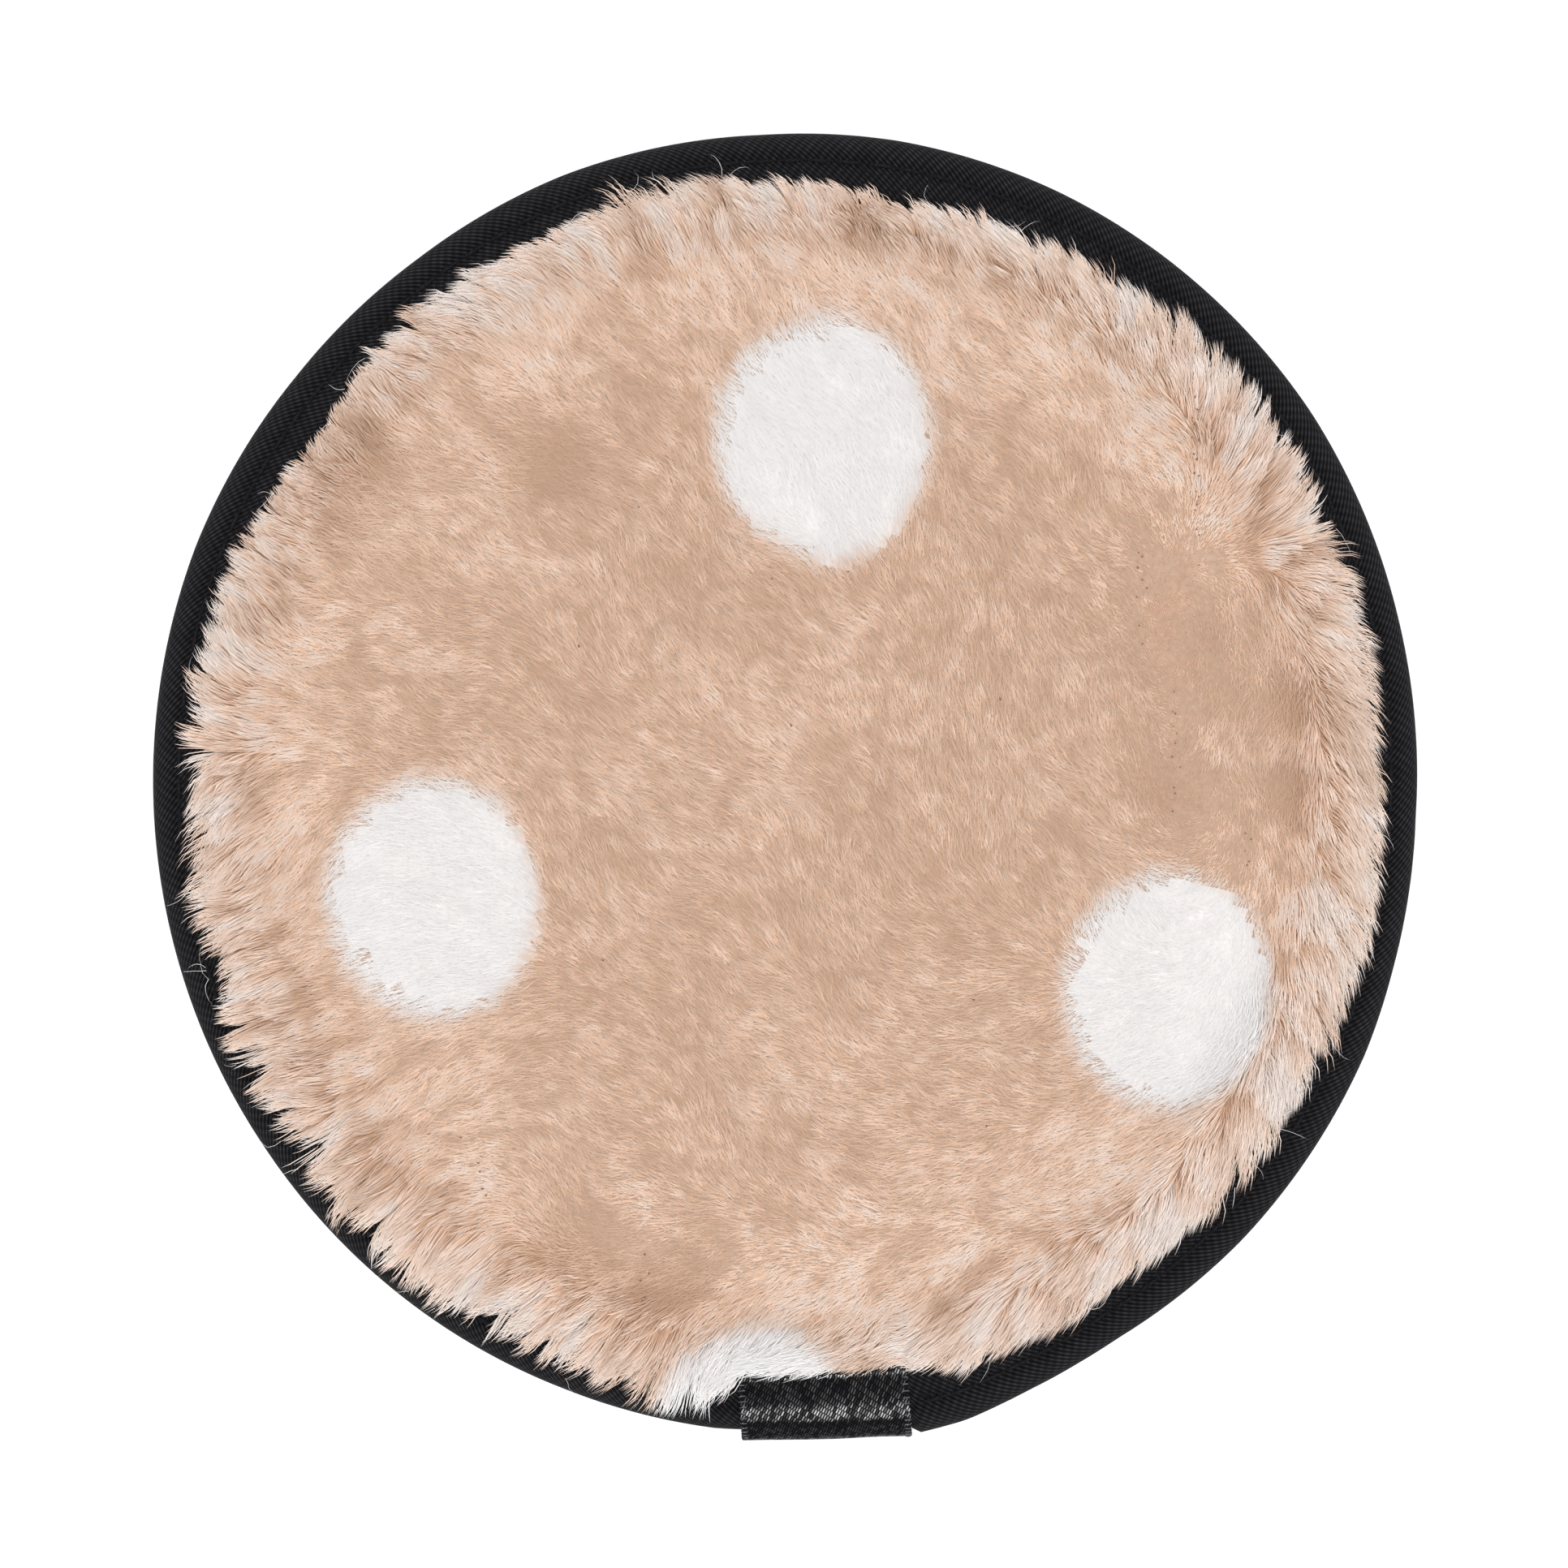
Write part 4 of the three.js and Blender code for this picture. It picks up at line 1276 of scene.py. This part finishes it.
class PAD_OT_binding(bpy.types.Operator):
    """Twill tape folded round the rim, with the lint that stands off its hem"""

    bl_idname = "plush_pad.binding"
    bl_label = "Bound edge"

    def section(self):
        """Section of the tape: front hem, roll, rear hem, and the mouth that holds the cloths."""
        hem = [
            (TAPE_REACH, 1.3), (6.38, 1.66), (6.0, 1.82), (5.0, HEM_HEIGHT), (4.0, HEM_HEIGHT),
            (3.4, 1.76), (3.0, 1.56), (DITCH_INSET, DITCH_FLOOR), (2.35, 1.6), (2.05, 1.88),
        ]
        roll = []
        for step in range(13):
            angle = math.radians(8 + step * 164 / 12)
            roll.append((ROLL_REACH * (1 - math.sin(angle)), RIM_HALF * math.cos(angle)))
        mouth = [
            (6.4, -MOUTH_HALF), (2.2, -1.05), (1.5, -0.7), (1.2, 0.0),
            (1.5, 0.7), (2.2, 1.05), (6.4, MOUTH_HALF),
        ]
        return hem + roll + on_face(reversed(hem), REAR) + mouth

    def execute(self, context):
        sizes = context.scene.pad_sizes
        colours = context.scene.pad_colours
        gap = JOIN_GAP / HALF_WIDTH
        start = math.radians(RIBBON_BEARING) + gap / 2
        tape = spun_piece("twill_tape", self.section(), 190, start, gap)
        finish_modifier(tape, "SUBSURF", levels=1, render_levels=1)
        places = places_of(tape)
        round_pad = np.arctan2(places[:, 1] / STRETCH, places[:, 0])
        turn = ((round_pad - math.radians(RIBBON_BEARING)) % (2 * math.pi)) / (2 * math.pi)
        height = places[:, 2] - MID_HEIGHT
        insets = inset_at(places[:, :2])
        roll = np.arctan2(np.abs(height) / RIM_HALF, np.maximum(ROLL_REACH - insets, 0) / ROLL_REACH)
        half_roll = (RIM_HALF + ROLL_REACH) / 2
        across = np.sign(height) * (roll * half_roll + np.maximum(insets - ROLL_REACH, 0))
        edge_length = 2 * math.pi * (HALF_WIDTH + HALF_LENGTH) / 2
        lay_map(tape, "tape", np.column_stack((turn, across / TAPE_WIDTH + 0.5)))
        let_out(tape)
        pitch = sizes.twill_pitch / MM
        twill = twill_finish("black_twill_tape", colours.twill, pitch, edge_length, TAPE_WIDTH)
        dressed(tape, "black_twill", twill)
        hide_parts("edge_binding")
        for face, side, count in ((FRONT, "front", 3600), (REAR, "rear", 1200)):
            seed = 60 + face
            lint = pile_piece(f"{side}_hem_lint", face, self.lint(count, seed), 0.035, seed)
            dressed(lint, "black_thread", thread_finish("black_sewing_thread", colours.thread))
        return {"FINISHED"}

    def lint(self, count, seed):
        """Short black fibres that stand off the tape's hem."""
        chance = np.random.default_rng(seed)
        bearings = chance.uniform(0, 2 * math.pi, count)
        bearings = bearings[ribbon_offset(np.column_stack((np.cos(bearings), np.sin(bearings)))) > 8.5]
        count = len(bearings)
        insets = chance.uniform(2.9, 6.3, count)
        share = 1 - insets / HALF_WIDTH
        places = on_edge(bearings) * share[:, None]
        roots = np.column_stack((places, np.full(count, HEM_HEIGHT - 0.1)))
        ways = turned(outward(places), chance.normal(0, 50, count))
        ways = ways * chance.uniform(0.4, 1.4, count)[:, None]
        tips = np.column_stack((places + ways, HEM_HEIGHT + chance.uniform(0.15, 0.7, count)))
        bends = blend(roots, tips, 0.5)
        bends[:, 2] += 0.3
        return roots, bends, tips, chance.random(count)


class PAD_OT_binding_stitches(bpy.types.Operator):
    """Stitches that lie in the ditch of the bound edge on both sides"""

    bl_idname = "plush_pad.binding_stitches"
    bl_label = "Binding stitches"

    def execute(self, context):
        sizes = context.scene.pad_sizes
        colours = context.scene.pad_colours
        seam = 2 * math.pi * (HALF_WIDTH - DITCH_INSET)
        count = int(seam / (sizes.stitch_length / MM))
        stop = math.radians(8.8)
        start = math.radians(RIBBON_BEARING) + stop
        sweep = 2 * math.pi - 2 * stop
        threads = ((FRONT, "front", "binding_needle_thread"), (REAR, "rear", "binding_bobbin_thread"))
        for face, side, node in threads:
            places = []
            for index in range(count):
                bearing = start + sweep * (index + 0.5) / count
                reach = 1 - DITCH_INSET / HALF_WIDTH
                x, y = HALF_WIDTH * reach * math.cos(bearing), HALF_LENGTH * reach * math.sin(bearing)
                way = (-HALF_WIDTH * math.sin(bearing), HALF_LENGTH * math.cos(bearing), 0)
                places.append(placed((x, y, MID_HEIGHT + face * (DITCH_FLOOR + 0.15)), way, (0, 0, face)))
            stitches = repeated(f"{side}_seam_stitches", stitch_pattern(sizes.stitch_length / MM), places)
            let_out(stitches)
            dressed(stitches, "black_thread", thread_finish("black_sewing_thread", colours.thread))
            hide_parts(node)
        return {"FINISHED"}


def stitch_pattern(length):
    """One stitch along x: plump in the middle, and drawn down into the cloth at both ends."""
    deselect_all()
    bpy.ops.mesh.primitive_uv_sphere_add(segments=8, ring_count=8, radius=MM, rotation=(0, math.pi / 2, 0))
    bpy.ops.object.transform_apply(location=False, rotation=True, scale=False)
    stitch = named_piece("stitch")
    resize_mesh((0.47 * length, 0.2, 0.2))
    for vertex in stitch.data.vertices:
        vertex.co.z -= 0.3 * MM * (vertex.co.x / (0.5 * length * MM)) ** 4
    return stitch


def ribbon_line(share):
    """Inset and height along the ribbon, from its front end round the rim to its rear end, and its length."""
    half = RIBBON_SEAT + 0.6
    bend = 1.5
    reach = bend + RIBBON_OVERHANG - 0.15
    leg = RIBBON_REACH - bend
    arc = math.pi * (3 * (reach + half) - math.sqrt((3 * reach + half) * (reach + 3 * half))) / 2
    length = 2 * leg + arc
    gone = share * length
    angle = np.clip((gone - leg) / arc, 0, 1) * math.pi
    inset = bend - reach * np.sin(angle)
    inset = np.where(gone < leg, RIBBON_REACH - gone, inset)
    inset = np.where(gone > leg + arc, bend + (gone - leg - arc), inset)
    fall = 0.17 * (np.sqrt(np.square(inset - 2.5) + 0.6) + inset - 2.5)
    drop = np.minimum(fall, half - 2.05)
    return inset, half * np.cos(angle) - drop * np.sign(np.cos(angle)), length


class PAD_OT_ribbon(bpy.types.Operator):
    """Satin ribbon folded over the rim, with overcast edges"""

    bl_idname = "plush_pad.ribbon"
    bl_label = "Ribbon"

    def execute(self, context):
        sizes = context.scene.pad_sizes
        colours = context.scene.pad_colours
        deselect_all()
        bpy.ops.mesh.primitive_grid_add(x_subdivisions=56, y_subdivisions=80, size=1)
        ribbon = named_piece("satin_ribbon")
        flat = np.array([vertex.co[:2] for vertex in ribbon.data.vertices])
        lay_map(ribbon, "ribbon", flat + 0.5)
        across, share = flat[:, 0] * RIBBON_WIDTH, flat[:, 1] + 0.5
        inset, height, length = ribbon_line(share)
        fold = np.exp(-np.square((share - 0.5) / 0.16))
        front = np.exp(-np.square((share - 0.26) / 0.15))
        wave = soft_noise(np.column_stack((across, share * 6)), 4.5, 71)
        inset = inset - 0.16 * fold * wave
        height = height + 0.07 * front * wave
        places = on_ribbon(across, inset, height)
        ribbon.data.vertices.foreach_set("co", (places * MM).astype(np.float32).ravel())
        bpy.ops.object.mode_set(mode="EDIT")
        bpy.ops.mesh.select_all(action="SELECT")
        bpy.ops.mesh.normals_make_consistent(inside=False)
        bpy.ops.object.mode_set(mode="OBJECT")
        finish_modifier(ribbon, "SOLIDIFY", thickness=sizes.ribbon_thickness, offset=0)
        bpy.ops.object.shade_smooth_by_angle(angle=math.radians(50))
        satin = satin_finish("black_satin_ribbon", colours.satin, RIBBON_WIDTH, length)
        dressed(ribbon, "black_satin", satin)
        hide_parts("ribbon_loop")
        edges = self.overcast_edges(length)
        # The edge yarn is ten times lighter than the satin: painted sheen of its loops
        dressed(edges, "black_satin", thread_finish("edge_yarn_painted_sheen", (0.06, 0.06, 0.063)))
        return {"FINISHED"}

    def overcast_edges(self, length):
        """Small loops of yarn round both long edges of the ribbon."""
        deselect_all()
        bpy.ops.mesh.primitive_torus_add(
            major_radius=0.24 * MM, minor_radius=0.06 * MM, major_segments=12, minor_segments=6
        )
        loop = named_piece("edge_loop")
        resize_mesh((0.8, 1.3, 1))
        count = int(length / 0.5)
        chance = np.random.default_rng(72)
        places = []
        for edge in (-1, 1):
            for index in range(count):
                shares = np.array((index + 0.5, index + 0.6)) / count
                inset, height, _ = ribbon_line(shares)
                line = on_ribbon(np.full(2, edge * (RIBBON_WIDTH / 2 - 0.3)), inset, height)
                way = line[1] - line[0]
                side = on_ribbon(np.array((0.0, 1.0)), inset[:1].repeat(2), height[:1].repeat(2))
                slanted = side[1] - side[0] + chance.uniform(0.1, 0.7) * way / np.linalg.norm(way)
                places.append(placed(line[0], np.cross(way, slanted), way))
        return repeated("ribbon_overcast_edges", loop, places)


def on_ribbon(across, inset, height):
    """Places on the ribbon in the pad's frame."""
    bearing = math.radians(RIBBON_BEARING)
    away = np.array((math.cos(bearing), math.sin(bearing)))
    along = np.array((-away[1], away[0]))
    slip = blend(*RIBBON_SLIP, across / RIBBON_WIDTH + 0.5)
    slip += RIBBON_BOW * (1 - np.square(2 * across / RIBBON_WIDTH))
    slip *= 1 - smooth_step(2.5, RIBBON_REACH, inset)
    plan = (edge_distance(RIBBON_BEARING) + slip - inset)[:, None] * away + across[:, None] * along
    return np.column_stack((plan, MID_HEIGHT + height))


class PAD_OT_ribbon_stitches(bpy.types.Operator):
    """Tack stitches that hold both legs of the ribbon"""

    bl_idname = "plush_pad.ribbon_stitches"
    bl_label = "Ribbon stitches"

    def execute(self, context):
        colours = context.scene.pad_colours
        threads = ((FRONT, "front", "ribbon_needle_thread"), (REAR, "rear", "ribbon_bobbin_thread"))
        for face, side, node in threads:
            places = []
            for across in np.arange(-6.0, 6.1, TACK_LENGTH):
                pair = np.array((across, across + 1))
                spot = on_ribbon(pair, np.full(2, TACK_INSET), np.full(2, face * TACK_HEIGHT))
                places.append(placed(spot[0], spot[1] - spot[0], (0, 0, face)))
            stitches = repeated(f"{side}_tack_stitches", stitch_pattern(TACK_LENGTH), places)
            dressed(stitches, "black_thread", thread_finish("black_sewing_thread", colours.thread))
            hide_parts(node)
        return {"FINISHED"}


class PAD_OT_stage(bpy.types.Operator):
    """Pale floor, soft light and the camera straight above the pad"""

    bl_idname = "plush_pad.stage"
    bl_label = "Stage"

    def execute(self, context):
        colours = context.scene.pad_colours
        deselect_all()
        bpy.ops.mesh.primitive_plane_add(size=4)
        floor = named_piece("floor")
        floor.data.materials.append(self.floor_finish(colours.floor))
        self.light("key_light", place=(0, -0.03, 0.8), size=0.36, power=4.6)
        world = bpy.data.worlds.new("studio")
        world.use_nodes = True
        tree = world.node_tree
        where = add_node(tree, "ShaderNodeTexCoord")
        parts = add_node(tree, "ShaderNodeSeparateXYZ")
        tree.links.new(where.outputs["Generated"], parts.inputs["Vector"])
        tent = add_ramp(tree, parts.outputs["Z"], ((0.35, grey(1.0)), (0.7, grey(0.22))))
        background = tree.nodes["Background"]
        tree.links.new(tent, background.inputs["Color"])
        set_inputs(background, {"Strength": 1.73})
        context.scene.world = world
        context.scene.view_settings.view_transform = "Standard"
        self.camera(context)
        return {"FINISHED"}

    def floor_finish(self, colour):
        """Pale floor: white to the camera where nothing shades it."""
        material, tree, shader = fresh_material("pale_floor")
        set_inputs(shader, {
            "Base Color": (*colour, 1), "Roughness": 0.9,
            "Specular IOR Level": 0.1, "Emission Color": (1, 1, 1, 1),
        })
        path = add_node(tree, "ShaderNodeLightPath")
        seen = add_math(tree, "MAXIMUM", path.outputs["Is Camera Ray"], path.outputs["Is Glossy Ray"])
        seen = add_math(tree, "MAXIMUM", seen, path.outputs["Is Transmission Ray"])
        tree.links.new(add_math(tree, "MULTIPLY", seen, 0.35), shader.inputs["Emission Strength"])
        return material

    def light(self, name, place, size, power):
        """A round lamp that looks at the pad's middle."""
        bpy.ops.object.light_add(type="AREA", location=place)
        lamp = bpy.context.active_object
        lamp.name = name
        lamp.data.shape = "DISK"
        lamp.data.size = size
        lamp.data.energy = power
        target = np.array((0, 0, MID_HEIGHT * MM)) - np.array(place)
        yaw = math.atan2(target[1], target[0])
        tilt = math.atan2(math.hypot(target[0], target[1]), -target[2])
        lamp.rotation_euler = (0, -tilt, yaw + math.pi)

    def camera(self, context):
        """A long lens straight above the pad."""
        frame_width = 148.9 * MM
        lens = 135.0
        camera = bpy.data.cameras.new("camera")
        camera.lens = lens
        camera.sensor_width = 36.0
        eye = bpy.data.objects.new("camera", camera)
        context.scene.collection.objects.link(eye)
        eye.location = (0, -0.2 * MM, MID_HEIGHT * MM + frame_width * lens / camera.sensor_width)
        context.scene.camera = eye


class PAD_PT_panel(bpy.types.Panel):
    """Lists the pad's pieces, sizes and colours"""

    bl_idname = "PAD_PT_panel"
    bl_label = "Plush Pad"
    bl_space_type = "VIEW_3D"
    bl_region_type = "UI"
    bl_category = "Plush Pad"

    def draw(self, context):
        layout = self.layout
        for operator in OPERATORS:
            layout.operator(operator.bl_idname)
        for group in (context.scene.pad_sizes, context.scene.pad_colours):
            for name in group.__annotations__:
                layout.prop(group, name)


OPERATORS = (
    PAD_OT_core, PAD_OT_ground_cloths, PAD_OT_pile_mats, PAD_OT_fur, PAD_OT_binding,
    PAD_OT_binding_stitches, PAD_OT_ribbon, PAD_OT_ribbon_stitches, PAD_OT_stage,
)
CLASSES = (PadSizes, PadColours, *OPERATORS, PAD_PT_panel)


def register():
    for part in CLASSES:
        bpy.utils.register_class(part)
    bpy.types.Scene.pad_sizes = bpy.props.PointerProperty(type=PadSizes)
    bpy.types.Scene.pad_colours = bpy.props.PointerProperty(type=PadColours)


def unregister():
    del bpy.types.Scene.pad_colours
    del bpy.types.Scene.pad_sizes
    for part in reversed(CLASSES):
        bpy.utils.unregister_class(part)


def main():
    register()
    bpy.ops.plush_pad.core()
    bpy.ops.plush_pad.ground_cloths()
    bpy.ops.plush_pad.pile_mats()
    bpy.ops.plush_pad.fur()
    bpy.ops.plush_pad.binding()
    bpy.ops.plush_pad.binding_stitches()
    bpy.ops.plush_pad.ribbon()
    bpy.ops.plush_pad.ribbon_stitches()
    bpy.ops.plush_pad.stage()


if __name__ == "__main__":
    main()
